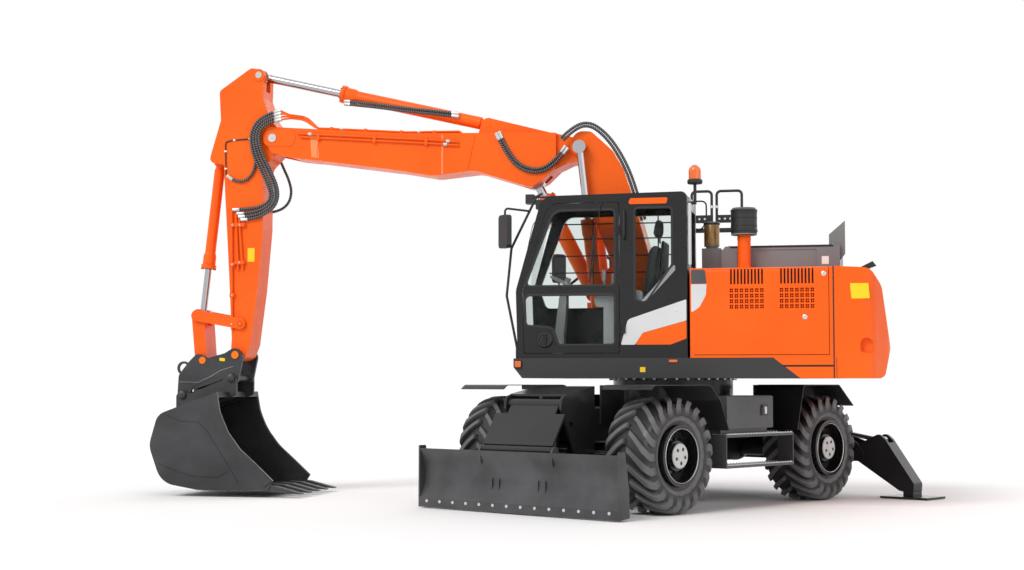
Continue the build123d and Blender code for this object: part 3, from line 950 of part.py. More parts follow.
def arm_hoses():
    """Hoses round the boom's nose to the arm's left side, and one on its right."""
    near, y = BOOM_HALF_W + 40, ARM_HALF_W + HOSE_R + SEAT
    left = [(4400, near, 4262), (4590, near, 4230), (4705, near, 4090), (4672, near, 3863),
            (4560, near - 15, 3660), (4455, near - 30, 3420), (4490, near - 45, 3275),
            (4610, y + 8, 3195), (4770, y, 3190), (4900, y, 3205)]
    right = [(4640, -near, 3960), (4560, -near, 3770), (4470, -near + 15, 3600), (4425, -near + 35, 3440),
             (4470, -near + 52, 3300), (4600, -y, 3225), (4740, -y, 3215)]
    return Compound([hose(left), hose(beside(left, 2 * HOSE_R + 3)), hose(right)])


# ================================================================ nodes
def put(name, shape, place):
    """Write one node, placed in the machine's frame."""
    export_step(place * shape, f"parts/{name}.step")


UPPER = Pos(SLEW_X, SLEW_Y, 0)
CHASSIS = UPPER * Rot(0, 0, CHASSIS_TURN)

tyre_of = {1: tyre(1), -1: tyre(-1)}
for end, x in (("f", FRONT_AXLE_X), ("r", REAR_AXLE_X)):
    for letter, side in (("l", 1), ("r", -1)):
        hub_place = CHASSIS * Pos(x, side * WHEEL_Y, WHEEL_R)
        put(f"tyre_{end}{letter}", tyre_of[side], hub_place)
        put(f"rim_{end}{letter}", rim(side), hub_place)
for letter, side in (("l", 1), ("r", -1)):
    put(f"knuckle_{letter}", knuckle(side), CHASSIS * Pos(FRONT_AXLE_X, 0, WHEEL_R))
put("front_axle", axle_front(), CHASSIS * Pos(FRONT_AXLE_X, 0, WHEEL_R))
put("tie_rod", tie_rod(), CHASSIS * Pos(FRONT_AXLE_X, 0, WHEEL_R))
put("rear_axle", axle_rear(), CHASSIS * Pos(REAR_AXLE_X, 0, WHEEL_R))

barrels, rods = blade_rams()
for name, shape in (("chassis_frame", chassis_frame()), ("fenders", fenders()),
                    ("side_boxes", side_boxes()), ("tool_box_lid", tool_box_lid()), ("blade", blade()),
                    ("blade_upper_link", blade_upper_link()), ("blade_lower_links", blade_lower_links()),
                    ("blade_cylinder_barrels", barrels), ("blade_cylinder_rods", rods)):
    put(name, shape, CHASSIS)

leg_shape, (leg_barrel, leg_rod) = leg(), leg_ram()
for letter, side in (("l", 1), ("r", -1)):
    for name, shape in (("stabiliser_leg", leg_shape), ("stabiliser_barrel", leg_barrel),
                        ("stabiliser_rod", leg_rod)):
        put(f"{name}_{letter}", shape if side > 0 else mirror(shape, about=Plane.XZ), CHASSIS)

boom_barrels, boom_rods = boom_rams()
pos_barrel, pos_rod = ram(POS_CYL_BASE, POS_CYL_TOP, POS_CYL_SHORT, POS_CYL_R, POS_ROD_R, POS_EYE_W)
arm_barrel, arm_rod = ram(ARM_CYL_BASE, ARM_CYL_TOP, ARM_CYL_SHORT, ARM_CYL_R, ARM_ROD_R, ARM_EYE_W)
bucket_barrel, bucket_rod = ram(BUCKET_CYL_BASE, LINK_TOP, BUCKET_CYL_SHORT, BUCKET_CYL_R, BUCKET_ROD_R,
                                BUCKET_EYE_W)
for name, shape in (("platform", platform()), ("counterweight", counterweight()),
                    ("engine_block", engine_block()), ("hood", hood()), ("engine_door", engine_door()),
                    ("hood_deck", hood_deck()), ("right_housing", right_housing()),
                    ("cab_shell", cab_shell()), ("cab_glass", cab_glass()), ("cab_door", cab_door()),
                    ("door_glass", door_glass()), ("driver_seat", seat()), ("console", console()),
                    ("rails_and_lamps", rails_and_lamps()), ("boom_hoses", boom_hoses()),
                    ("base_boom_hoses", base_boom_hoses()), ("arm_hoses", arm_hoses()),
                    ("base_boom", base_boom()), ("boom_cylinder_barrels", boom_barrels),
                    ("boom_cylinder_rods", boom_rods), ("positioning_barrel", pos_barrel),
                    ("positioning_rod", pos_rod), ("upper_boom", upper_boom()),
                    ("arm_cylinder_barrel", arm_barrel), ("arm_cylinder_rod", arm_rod), ("arm", arm()),
                    ("idler_links", idler_links()), ("bucket_link", bucket_link()),
                    ("bucket_cylinder_barrel", bucket_barrel), ("bucket_cylinder_rod", bucket_rod),
                    ("coupler", coupler()), ("bucket", bucket())):
    put(name, shape, UPPER)
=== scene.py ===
"""Wheeled excavator dressed for rendering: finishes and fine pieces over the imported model."""
import json
from math import cos, pi, radians, sin

import bmesh
import bpy
import numpy as np
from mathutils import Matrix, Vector


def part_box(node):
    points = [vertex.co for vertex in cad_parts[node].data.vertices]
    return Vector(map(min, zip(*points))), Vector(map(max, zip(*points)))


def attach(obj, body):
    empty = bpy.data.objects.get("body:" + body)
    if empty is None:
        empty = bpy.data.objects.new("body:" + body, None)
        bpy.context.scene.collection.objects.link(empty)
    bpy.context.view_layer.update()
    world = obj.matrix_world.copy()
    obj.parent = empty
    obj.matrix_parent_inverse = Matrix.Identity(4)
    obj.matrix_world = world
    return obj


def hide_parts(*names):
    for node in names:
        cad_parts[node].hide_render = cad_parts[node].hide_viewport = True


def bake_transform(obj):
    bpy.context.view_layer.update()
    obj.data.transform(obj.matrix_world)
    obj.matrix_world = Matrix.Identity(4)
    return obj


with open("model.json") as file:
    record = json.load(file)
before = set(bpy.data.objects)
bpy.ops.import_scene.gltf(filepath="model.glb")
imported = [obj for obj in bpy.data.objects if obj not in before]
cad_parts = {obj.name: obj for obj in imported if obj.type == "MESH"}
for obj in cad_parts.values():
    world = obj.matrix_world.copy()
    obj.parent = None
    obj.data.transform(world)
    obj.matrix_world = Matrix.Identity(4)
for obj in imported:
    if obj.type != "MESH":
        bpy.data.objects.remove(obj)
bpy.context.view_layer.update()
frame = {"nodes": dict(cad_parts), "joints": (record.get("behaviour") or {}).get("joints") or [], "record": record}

scene = bpy.context.scene
scene.view_settings.view_transform = "Standard"

# ---------------------------------------------------------------- camera, light and floor
# The machine stands in a bright studio on a pale floor.  The camera is low, at the left of
# the cab and a long way back, and looks slightly up at the boom.
CAMERA_AT, CAMERA_YAW, CAMERA_PITCH, LENS = (-3.579, 17.410, 1.264), radians(12.617), radians(3.44), 56.85
camera_data = bpy.data.cameras.new("camera")
camera_data.lens, camera_data.sensor_width = LENS, 36
camera_data.clip_end = 400
camera = bpy.data.objects.new("camera", camera_data)
camera.location = CAMERA_AT
camera.rotation_euler = Vector((sin(CAMERA_YAW) * cos(CAMERA_PITCH), -cos(CAMERA_YAW) * cos(CAMERA_PITCH),
                                sin(CAMERA_PITCH))).to_track_quat("-Z", "Y").to_euler()
scene.collection.objects.link(camera)
scene.camera = camera


def sun(name, towards, strength, softness):
    """Distant soft lamp that shines along the vector towards."""
    lamp = bpy.data.lights.new(name, "SUN")
    lamp.energy, lamp.angle = strength, radians(softness)
    holder = bpy.data.objects.new(name, lamp)
    holder.rotation_euler = Vector(towards).to_track_quat("-Z", "Y").to_euler()
    scene.collection.objects.link(holder)


sun("key_lamp", (-0.45, -0.75, -0.75), 1.7, 25)
sun("fill_lamp", (0.8, -0.5, -0.25), 0.5, 60)
sun("back_lamp", (0.3, 0.9, -0.6), 0.5, 60)

SKY_LEVEL = 0.62
world = bpy.data.worlds.new("studio")
world.use_nodes = True
scene.world = world
sky = world.node_tree
rays = sky.nodes.new("ShaderNodeLightPath")
total = rays.outputs["Is Camera Ray"]
for kind in ("Is Glossy Ray", "Is Transmission Ray"):
    seen = sky.nodes.new("ShaderNodeMath")
    seen.operation = "MAXIMUM"
    sky.links.new(total, seen.inputs[0])
    sky.links.new(rays.outputs[kind], seen.inputs[1])
    total = seen.outputs[0]
level = sky.nodes.new("ShaderNodeMapRange")
level.inputs["To Min"].default_value = SKY_LEVEL
sky.links.new(total, level.inputs["Value"])
sky.links.new(level.outputs[0], sky.nodes["Background"].inputs["Strength"])
sky.nodes["Background"].inputs["Color"].default_value = (1, 1, 1, 1)


def new_mesh(name, points, faces):
    """Object at the origin whose mesh has these points and faces."""
    mesh = bpy.data.meshes.new(name)
    mesh.from_pydata(np.asarray(points, float).reshape(-1, 3).tolist(), [], faces)
    obj = bpy.data.objects.new(name, mesh)
    scene.collection.objects.link(obj)
    return obj


def linear(colour):
    """An sRGB colour (0 to 255) as linear red, green and blue with full alpha."""
    level = np.array(colour) / 255
    return (*np.where(level <= 0.04045, level / 12.92, ((level + 0.055) / 1.055) ** 2.4).tolist(), 1)


def material(name, colour, rough, metal=0.0):
    """Principled finish of one sRGB colour (0 to 255) with its node tree and the shader."""
    finish = bpy.data.materials.new(name)
    finish.use_nodes = True
    shader = finish.node_tree.nodes["Principled BSDF"]
    shader.inputs["Base Color"].default_value = linear(colour)
    shader.inputs["Roughness"].default_value = rough
    shader.inputs["Metallic"].default_value = metal
    return finish, finish.node_tree, shader


FLOOR_HALF = 150
floor = new_mesh("studio_floor", [(-FLOOR_HALF, -FLOOR_HALF, 0), (FLOOR_HALF, -FLOOR_HALF, 0),
                                  (FLOOR_HALF, FLOOR_HALF, 0), (-FLOOR_HALF, FLOOR_HALF, 0)], [(0, 1, 2, 3)])
floor_finish, _, _ = material("pale_floor", (250, 250, 250), 0.9)
floor.data.materials.append(floor_finish)


# ---------------------------------------------------------------- finishes of the CAD nodes
# Sprayed paint, cast steel, moulded plastic and rubber, each with a tone that drifts, an uneven
# gloss and a fine relief.  Every CAD node takes the finish of its slot, a few a finish of their own.
def speckle(tree, scale, detail=3.0, stretch=(1, 1, 1)):
    """Noise on the object's own coordinates, stretched along an axis if asked."""
    place = tree.nodes.new("ShaderNodeTexCoord")
    turn = tree.nodes.new("ShaderNodeMapping")
    turn.inputs["Scale"].default_value = stretch
    noise = tree.nodes.new("ShaderNodeTexNoise")
    noise.inputs["Scale"].default_value = scale
    noise.inputs["Detail"].default_value = detail
    tree.links.new(place.outputs["Object"], turn.inputs["Vector"])
    tree.links.new(turn.outputs[0], noise.inputs["Vector"])
    return noise.outputs["Fac"]


def vary(tree, shader, noise, colour, other, low=0.35, high=0.65):
    """Base colour that goes from colour to other as the noise rises from low to high."""
    blend = tree.nodes.new("ShaderNodeValToRGB")
    for stop, at, tone in ((0, low, colour), (1, high, other)):
        blend.color_ramp.elements[stop].position = at
        blend.color_ramp.elements[stop].color = linear(tone)
    tree.links.new(noise, blend.inputs[0])
    tree.links.new(blend.outputs[0], shader.inputs["Base Color"])
    return blend.outputs[0]


def rough_range(tree, shader, noise, low, high):
    """Roughness between low and high, driven by noise."""
    spread = tree.nodes.new("ShaderNodeMapRange")
    spread.inputs["From Min"].default_value = 0.3
    spread.inputs["From Max"].default_value = 0.7
    spread.inputs["To Min"].default_value = low
    spread.inputs["To Max"].default_value = high
    tree.links.new(noise, spread.inputs["Value"])
    tree.links.new(spread.outputs[0], shader.inputs["Roughness"])


def relief(tree, shader, height, strength, depth):
    """Bump of the height, depth in metres."""
    bump = tree.nodes.new("ShaderNodeBump")
    bump.inputs["Strength"].default_value = strength
    bump.inputs["Distance"].default_value = depth
    tree.links.new(height, bump.inputs["Height"])
    tree.links.new(bump.outputs[0], shader.inputs["Normal"])


def lacquer(name, colour, other, rough, coat=0.0):
    """Sprayed paint: slow drift between two tones, uneven gloss and a faint pebbled skin."""
    finish, tree, shader = material(name, colour, rough)
    vary(tree, shader, speckle(tree, 1.1), colour, other)
    rough_range(tree, shader, speckle(tree, 7.0), rough - 0.06, rough + 0.08)
    relief(tree, shader, speckle(tree, 260.0, 1.0), 0.12, 0.0006)
    shader.inputs["Specular IOR Level"].default_value = 0.24
    shader.inputs["Coat Weight"].default_value = coat
    shader.inputs["Coat Roughness"].default_value = 0.12
    return finish


def cast_steel(name, colour, other, rough):
    """Rolled or cast steel under worn paint: mottled tone, drawn-out scratches and a grainy skin."""
    finish, tree, shader = material(name, colour, rough, 0.35)
    vary(tree, shader, speckle(tree, 2.5, 5.0), colour, other)
    rough_range(tree, shader, speckle(tree, 12.0, 5.0), rough - 0.08, rough + 0.12)
    relief(tree, shader, speckle(tree, 120.0, 4.0), 0.2, 0.0015)
    return finish


def plastic(name, colour, rough):
    """Moulded plastic with a fine leathery grain."""
    finish, tree, shader = material(name, colour, rough)
    rough_range(tree, shader, speckle(tree, 30.0), rough - 0.05, rough + 0.05)
    relief(tree, shader, speckle(tree, 900.0, 2.0), 0.15, 0.0003)
    return finish


orange_paint = lacquer("orange_paint", (247, 99, 14), (241, 91, 10), 0.32)
charcoal_paint = lacquer("charcoal_paint", (30, 30, 32), (25, 25, 27), 0.3, 0.15)
grey_paint = lacquer("undercarriage_paint", (44, 44, 45), (32, 32, 33), 0.34, 0.3)
rim_paint = lacquer("rim_paint", (26, 26, 27), (20, 20, 21), 0.24, 0.5)
box_paint = lacquer("box_paint", (74, 74, 75), (64, 64, 65), 0.32, 0.4)
blade_paint = cast_steel("blade_paint", (80, 80, 82), (60, 60, 62), 0.4)
worn_steel = cast_steel("bucket_steel", (62, 62, 64), (46, 46, 48), 0.45)
chrome, chrome_tree, chrome_shader = material("rod_chrome", (178, 178, 182), 0.12, 1.0)
rough_range(chrome_tree, chrome_shader, speckle(chrome_tree, 60.0), 0.08, 0.18)
black_plastic = plastic("black_plastic", (26, 26, 27), 0.5)
rubber, rubber_tree, rubber_shader = material("tyre_rubber", (62, 62, 63), 0.5)
rubber_tone = vary(rubber_tree, rubber_shader, speckle(rubber_tree, 5.0, 5.0), (44, 44, 45), (33, 33, 34))
# Lug tops and a scalloped ring low on the side wall take a lighter grey; on the lug tops it is a painted
# highlight.
lug_highlight_and_ring_mask = rubber_tree.nodes.new("ShaderNodeAttribute")
lug_highlight_and_ring_mask.attribute_name = "lug_weight"
lug_highlight_and_ring_mix = rubber_tree.nodes.new("ShaderNodeMix")
lug_highlight_and_ring_mix.data_type = "RGBA"
lug_highlight_and_ring_mix.inputs[7].default_value = (0.128, 0.128, 0.130, 1)
rubber_tree.links.new(lug_highlight_and_ring_mask.outputs["Fac"], lug_highlight_and_ring_mix.inputs["Factor"])
rubber_tree.links.new(rubber_tone, lug_highlight_and_ring_mix.inputs[6])
rubber_tree.links.new(lug_highlight_and_ring_mix.outputs[2], rubber_shader.inputs["Base Color"])
rough_range(rubber_tree, rubber_shader, speckle(rubber_tree, 20.0), 0.42, 0.6)
relief(rubber_tree, rubber_shader, speckle(rubber_tree, 180.0, 3.0), 0.2, 0.0008)
glass, _, glass_shader = material("window_glass", (235, 240, 238), 0.03)
glass_shader.inputs["Transmission Weight"].default_value = 1.0
glass_shader.inputs["IOR"].default_value = 1.1
amber, _, amber_shader = material("amber_lens", (235, 110, 10), 0.2)
cloth, cloth_tree, cloth_shader = material("seat_cloth", (66, 66, 69), 0.85)
relief(cloth_tree, cloth_shader, speckle(cloth_tree, 700.0, 2.0), 0.4, 0.001)
iron = cast_steel("engine_iron", (120, 120, 118), (90, 90, 88), 0.5)
console_grey = plastic("console_grey", (150, 150, 152), 0.5)
deck_grey = lacquer("deck_grey", (128, 128, 129), (116, 116, 117), 0.42)
hose_rubber, hose_tree, hose_shader = material("hose_rubber", (38, 38, 39), 0.42)
relief(hose_tree, hose_shader, speckle(hose_tree, 400.0, 2.0), 0.3, 0.0006)


def two_tone(name, near, far, cut, slope):
    """Paint that changes tone along the slanting line x + slope * z = cut of the parked machine."""
    finish = lacquer(name, near, near, 0.36)
    tree = finish.node_tree
    place = tree.nodes.new("ShaderNodeTexCoord")
    split = tree.nodes.new("ShaderNodeSeparateXYZ")
    lean = tree.nodes.new("ShaderNodeMath")
    lean.operation = "MULTIPLY_ADD"
    lean.inputs[1].default_value = slope
    behind = tree.nodes.new("ShaderNodeMath")
    behind.operation = "LESS_THAN"
    behind.inputs[1].default_value = cut
    choice = tree.nodes.new("ShaderNodeMix")
    choice.data_type = "RGBA"
    shader = tree.nodes["Principled BSDF"]
    choice.inputs[7].default_value = linear(far)
    tree.links.new(place.outputs["Object"], split.inputs[0])
    tree.links.new(split.outputs["Z"], lean.inputs[0])
    tree.links.new(split.outputs["X"], lean.inputs[2])
    tree.links.new(lean.outputs[0], behind.inputs[0])
    tree.links.new(behind.outputs[0], choice.inputs["Factor"])
    tree.links.new(shader.inputs["Base Color"].links[0].from_socket, choice.inputs[6])
    tree.links.new(choice.outputs[2], shader.inputs["Base Color"])
    return finish


SLEW = np.array(next(j["pos_m"] for j in frame["joints"] if j["name"] == "slew")) * (1, 1, 0)
platform_paint = two_tone("platform_paint", (58, 58, 59), (245, 96, 12), SLEW[0] - 3.080, -1.285)

slot_finish = {"orange_paint": orange_paint, "charcoal_paint": charcoal_paint, "grey_paint": grey_paint,
               "rim_paint": rim_paint, "worn_steel": worn_steel, "rod_chrome": chrome,
               "black_plastic": black_plastic, "tyre_rubber": rubber, "window_glass": glass,
               "hose_rubber": hose_rubber, "seat_fabric": cloth, "engine_iron": iron}
for entry in frame["record"]["subparts"]:
    data = frame["nodes"][entry["node"]].data
    data.materials.clear()
    data.materials.append(slot_finish[entry["material_slot"]])
for node, finish in (("platform", platform_paint), ("hood_deck", deck_grey), ("idler_links", orange_paint),
                     ("bucket_link", orange_paint), ("side_boxes", box_paint), ("tool_box_lid", box_paint),
                     ("blade", blade_paint), ("console", console_grey)):
    frame["nodes"][node].data.materials[0] = finish


# ---------------------------------------------------------------- tyres
# Farm-type rubber tyres.  Two rows of curved lugs meet as open arrows in the middle of the
# tread, run over the shoulders and end on the side walls; the casing is moulded with them.
LUGS, LUG_HEIGHT, SHOULDER = 21, 0.0475, 0.24


def quads(rows, cols, wrap_rows=False, wrap_cols=False):
    """Faces of a grid numbered row by row; a wrapped side joins its last line to its first."""
    r = np.arange(rows if wrap_rows else rows - 1)[:, None]
    c = np.arange(cols if wrap_cols else cols - 1)[None, :]
    corners = [r * cols + c, r * cols + (c + 1) % cols, (r + 1) % rows * cols + (c + 1) % cols,
               (r + 1) % rows * cols + c]
    return np.stack(np.broadcast_arrays(*corners), -1).reshape(-1, 4).tolist()


def axes_about(axis):
    """Three unit vectors: two square to the axis, and the axis."""
    along = np.array(axis, float) / np.linalg.norm(axis)
    first = np.cross(along, (0, 0, 1) if abs(along[2]) < 0.9 else (1, 0, 0))
    first /= np.linalg.norm(first)
    return first, np.cross(along, first), along


def smooth_piece(obj, finish, body, crease=35):
    """Merges doubles, points faces outwards, shades smooth below the crease angle, paints and mounts."""
    shape = bmesh.new()
    shape.from_mesh(obj.data)
    bmesh.ops.remove_doubles(shape, verts=shape.verts, dist=1e-6)
    bmesh.ops.recalc_face_normals(shape, faces=shape.faces)
    shape.to_mesh(obj.data)
    shape.free()
    obj.data.shade_smooth()
    obj.data.set_sharp_from_angle(angle=radians(crease))
    obj.data.materials.append(finish)
    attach(obj, body)
    return obj


def fitted(name, shell, finish, body, crease=35):
    """Makes a piece of a shell's points and faces, paints and mounts it."""
    return smooth_piece(new_mesh(name, *shell), finish, body, crease)


def tyre(name, centre, axis):
    """Radius over angle and run: casing profile plus a lug height that is one on top of each lug.

    The rows of the grid follow the lugs' edges, which lean round the tyre by the power 1.3 of
    the run from the middle of the tread; the two rows of lugs stand half a pitch apart.
    """
    knots = np.array([(-0.176, 0.286), (-0.205, 0.292), (-0.222, 0.322), (-0.236, 0.336), (-0.240, 0.352),
                      (-0.250, 0.372), (-0.256, 0.405), (-0.252, 0.455), (-0.236, 0.492), (-0.205, 0.507),
                      (-0.120, 0.512), (0, 0.514)])
    knots = np.vstack([knots, (knots * (-1, 1))[-2::-1]])
    length = np.r_[0, np.cumsum(np.hypot(*np.diff(knots, axis=0).T))]
    middle = length[-1] / 2
    fine = np.linspace(0, length[-1], 97)
    at = np.sort(np.r_[fine, length[(knots[:, 1] < 0.38)]])
    width, casing = (np.interp(at, length, column) for column in knots.T)
    run = np.abs(at - middle)
    lean = (np.minimum(run, 1.15 * SHOULDER) / SHOULDER) ** 1.3 * 1.25
    half = 0.150 + 0.085 * np.minimum(run / SHOULDER, 1.2) ** 1.5
    edge = np.array([[-0.5, 0], [-1, -0.045], [-1, -0.022], [-1, 0.006], [-1, 0.022], [-0.34, 0], [0.34, 0],
                     [1, -0.022], [1, -0.006], [1, 0.022], [1, 0.045]])
    raised = np.array([0, 0, 0.10, 0.93, 1, 1, 1, 1, 0.93, 0.10, 0])[:, None]
    place = edge[:, :1] * half + edge[:, 1:]
    place[0] = -0.5
    shift = np.interp(at - middle, (-0.02, 0.02), (0.0, 0.5))
    pitch = 2 * pi / LUGS
    turn = ((np.arange(LUGS)[:, None, None] + place + lean + shift) * pitch).reshape(-1, len(at))
    fade = np.clip((casing - 0.392) / 0.045, 0, 1) * np.clip((run - 0.010) / 0.016, 0, 1)
    lug_weight = np.clip((casing - 0.40) / 0.10, 0.35, 1)
    lift = np.tile(raised * fade, (LUGS, 1, 1)).reshape(-1, len(at))
    radius = casing + LUG_HEIGHT * lift * lug_weight
    spread = width * (1 + 0.030 * lift * (casing < 0.50))
    first, second, along = axes_about(axis)
    points = (np.array(centre) + (radius * np.cos(turn))[..., None] * first
              + (radius * np.sin(turn))[..., None] * second + spread[..., None] * along)
    casing_mesh = new_mesh(name, points, quads(len(turn), len(at), True, True))
    # Lug tops and the scalloped ring on the inner side wall are marked for the lighter grey; on the lug tops that
    # grey is a painted highlight.
    scallop = 0.372 + 0.008 * np.abs(np.sin(turn * LUGS / 2))
    bead = np.clip((scallop - casing) / 0.006, 0, 1) * np.clip((casing - 0.290) / 0.01, 0, 1)
    tone = casing_mesh.data.attributes.new("lug_weight", "FLOAT", "POINT")
    tone.data.foreach_set("value", np.clip(np.maximum(0.85 * lift, 0.95 * bead), 0,
                                           1).ravel().astype(np.float32))
    return casing_mesh


def wheel_at(corner):
    """Middle of the tyre at this corner and the direction of its axle."""
    joint = next(j for j in frame["joints"] if j["name"] == "wheel_" + corner)
    low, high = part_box("tyre_" + corner)
    return (np.array(low) + np.array(high)) / 2, np.array(joint["axis"])


CORNERS = ("fl", "fr", "rl", "rr")
for corner in CORNERS:
    carcass = tyre("tread_" + corner, *wheel_at(corner))
    smooth_piece(carcass, rubber, "wheel_" + corner, 32)
    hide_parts("tyre_" + corner)


# ---------------------------------------------------------------- wheels
# Pressed steel wheels.  A bright lock ring holds the tyre on the rim, ten nuts hold the disc
# to the planetary hub, and the hub ends in a pale cover with a ring of screws and five ports.
WHEEL_FACE, DISC_FACE, HUB_FACE = 0.270, 0.134, 0.240     # from the middle of the tyre, outwards
NUT_CIRCLE, SCREW_CIRCLE, PORT_CIRCLE = 0.166, 0.103, 0.071


def turned(profile, at, axis, steps=48):
    """Profile rows (radius, height) turned once about the axis through at."""
    first, second, along = axes_about(axis)
    radius, height = np.asarray(profile, float).T
    turn = np.linspace(0, 2 * pi, steps, endpoint=False)[:, None]
    points = (np.array(at) + (radius * np.cos(turn))[..., None] * first
              + (radius * np.sin(turn))[..., None] * second
              + (height * np.ones_like(turn))[..., None] * along)
    return points.reshape(-1, 3), quads(steps, len(radius), True, False)


def joined(shells):
    """Points and faces of several shells as one list each."""
    points, faces, start = [], [], 0
    for corners, sides in shells:
        points.append(corners)
        faces += [[start + i for i in side] for side in sides]
        start += len(corners)
    return np.vstack(points), faces


def repeated(shell, places):
    """Copies of one shell made at the origin, moved to each of the places."""
    return joined([(shell[0] + place, shell[1]) for place in np.asarray(places, float)])


def hex_heads(places, axis, radius, height):
    """Six-sided bolt heads with a bevelled top and a flange, one at each place along the axis."""
    head = turned([(0, 0), (1.35 * radius, 0), (1.35 * radius, 0.2 * height), (radius, 0.2 * height),
                   (radius, 0.85 * height), (0.85 * radius, height), (0, height)], (0, 0, 0), axis, 6)
    return repeated(head, places)


def circle_of(count, radius, at, axis, start=0.0):
    """Points spread evenly on a circle about the axis."""
    first, second, _ = axes_about(axis)
    turn = start + np.arange(count)[:, None] * 2 * pi / count
    return np.array(at) + radius * (np.cos(turn) * first + np.sin(turn) * second)


bright_steel, bright_tree, bright_shader = material("bright_steel", (205, 205, 203), 0.28, 0.8)
rough_range(bright_tree, bright_shader, speckle(bright_tree, 90.0), 0.2, 0.4)
pale_cover = lacquer("hub_cover_paint", (206, 206, 204), (190, 190, 188), 0.35)
for corner in CORNERS:
    middle, axle = wheel_at(corner)
    out = axle * (1 if corner[1] == "l" else -1)
    ring = turned([(0.2560, WHEEL_FACE - 0.006), (0.2560, WHEEL_FACE + 0.002), (0.2595, WHEEL_FACE + 0.005),
                   (0.2630, WHEEL_FACE + 0.002), (0.2630, WHEEL_FACE - 0.006), (0.2560, WHEEL_FACE - 0.006)],
                  middle, out, 96)
    fitted("lock_ring_" + corner, ring, bright_steel, "wheel_" + corner)
    nuts = hex_heads(circle_of(10, NUT_CIRCLE, middle + out * DISC_FACE, out), out, 0.013, 0.022)
    fitted("wheel_nuts_" + corner, nuts, rim_paint, "wheel_" + corner)
    cover = turned([(0, HUB_FACE), (0.120, HUB_FACE), (0.120, HUB_FACE + 0.008), (0.112, HUB_FACE + 0.014),
                    (0.05, HUB_FACE + 0.015), (0.045, HUB_FACE + 0.022), (0, HUB_FACE + 0.023)], middle, out,
                   64)
    fitted("hub_cover_" + corner, cover, pale_cover, "wheel_" + corner)
    screws = hex_heads(circle_of(12, SCREW_CIRCLE, middle + out * (HUB_FACE + 0.012), out), out, 0.005, 0.006)
    fitted("cover_screws_" + corner, screws, bright_steel, "wheel_" + corner)
    ports = turned([(0, 0), (0.017, 0), (0.017, 0.0026), (0.013, 0.0030), (0.011, 0.0012), (0, 0.0012)],
                   (0, 0, 0), out, 24)
    seats = circle_of(5, PORT_CIRCLE, middle + out * (HUB_FACE + 0.0138), out, 0.4)
    fitted("cover_ports_" + corner, repeated(ports, seats), rim_paint, "wheel_" + corner)


# ---------------------------------------------------------------- undercarriage fittings
# Bolts of the slewing bearing under the platform, raised bars and toothed edges that give a
# foot hold on the steps, the latch of the tool box and the bolts of the blade's cutting edge.
TURN = radians(60)
STEP_TOPS = (0.745, 0.440)


def machine(points):
    """Points given about the slew axis on the ground, in metres, moved to the machine's frame."""
    return np.asarray(points, float) + SLEW


def chassis(points):
    """Points given along the undercarriage (its X towards the blade), turned with it."""
    x, y, z = np.moveaxis(np.asarray(points, float), -1, 0)
    return machine(np.stack([x * cos(TURN) - y * sin(TURN), x * sin(TURN) + y * cos(TURN), z], -1))


CHASSIS_X = chassis([(1, 0, 0)])[0] - SLEW
ring_bolts = hex_heads(circle_of(36, 0.672, machine([0, 0, 1.3047]), (0, 0, -1)), (0, 0, -1), 0.014, 0.02)
fitted("bearing_bolts", ring_bolts, bright_steel, "revolving_frame")


def tread_field(x0, x1, y0, y1, z):
    """Rows of short raised bars, turned left and right by turns, over a rectangle of the undercarriage.

    Each bar is a lens: half length times cosine of the angle, half width times its sine, domed.
    """
    bar_x, bar_y = np.meshgrid(np.arange(x0 + 0.02, x1, 0.034), np.arange(y0 + 0.02, y1, 0.034),
                               indexing="ij")
    lean = np.where((np.indices(bar_x.shape).sum(0) % 2) == 0, 1, -1).ravel() * radians(45)
    angle = np.arange(8) * 2 * pi / 8
    local = np.stack([0.013 * np.cos(angle), 0.0035 * np.sin(angle)], -1)
    turn = np.stack([np.stack([np.cos(lean), -np.sin(lean)], -1),
                     np.stack([np.sin(lean), np.cos(lean)], -1)], 1)
    flat = np.einsum("bij,kj->bki", turn, local) + np.stack([bar_x.ravel(), bar_y.ravel()], -1)[:, None]
    low = np.concatenate([flat, np.full(flat.shape[:2] + (1,), z - 0.001)], -1)
    centre = flat.mean(1, keepdims=True)
    high = np.concatenate([centre + (flat - centre) * 0.6, np.full(flat.shape[:2] + (1,), z + 0.003)], -1)
    points = np.concatenate([low, high], 1)
    sides = np.array([[k, (k + 1) % 8, 8 + (k + 1) % 8, 8 + k] for k in range(8)])
    starts = np.arange(len(points))[:, None] * 16
    walls = (starts[:, None] + sides[None]).reshape(-1, 4).tolist()
    tops = (starts + np.arange(8, 16)).tolist()
    floors = (starts + np.arange(7, -1, -1)).tolist()
    return chassis(points.reshape(-1, 3)), walls + tops + floors


treads = [tread_field(-0.40, 0.765, side * 1.145 - 0.09, side * 1.145 + 0.09, z)
          for side in (1, -1) for z in STEP_TOPS]
fitted("step_treads", joined(treads), bright_steel, "undercarriage", 60)


def upright(outline, y):
    """Outline (x, z) stood up at y."""
    return np.stack([outline[:, 0], np.full(len(outline), y), outline[:, 1]], -1)


def laid(outline, z):
    """Outline (x, y) laid flat at z."""
    return np.stack([outline[:, 0], outline[:, 1], np.full(len(outline), z)], -1)


def sheet(outline, a, b, spread):
    """Closed sheet of an outline: its two layers stand at a and b, placed by the function spread."""
    outline = np.asarray(outline, float)
    count = len(outline)
    walls = [[k, (k + 1) % count, count + (k + 1) % count, count + k] for k in range(count)]
    return (np.vstack([spread(outline, a), spread(outline, b)]),
            walls + [list(range(count)), list(range(2 * count - 1, count - 1, -1))])


def plate_between(outline, a, b, spread):
    """Sheet given along the undercarriage and turned with it."""
    points, faces = sheet(outline, a, b, spread)
    return chassis(points), faces


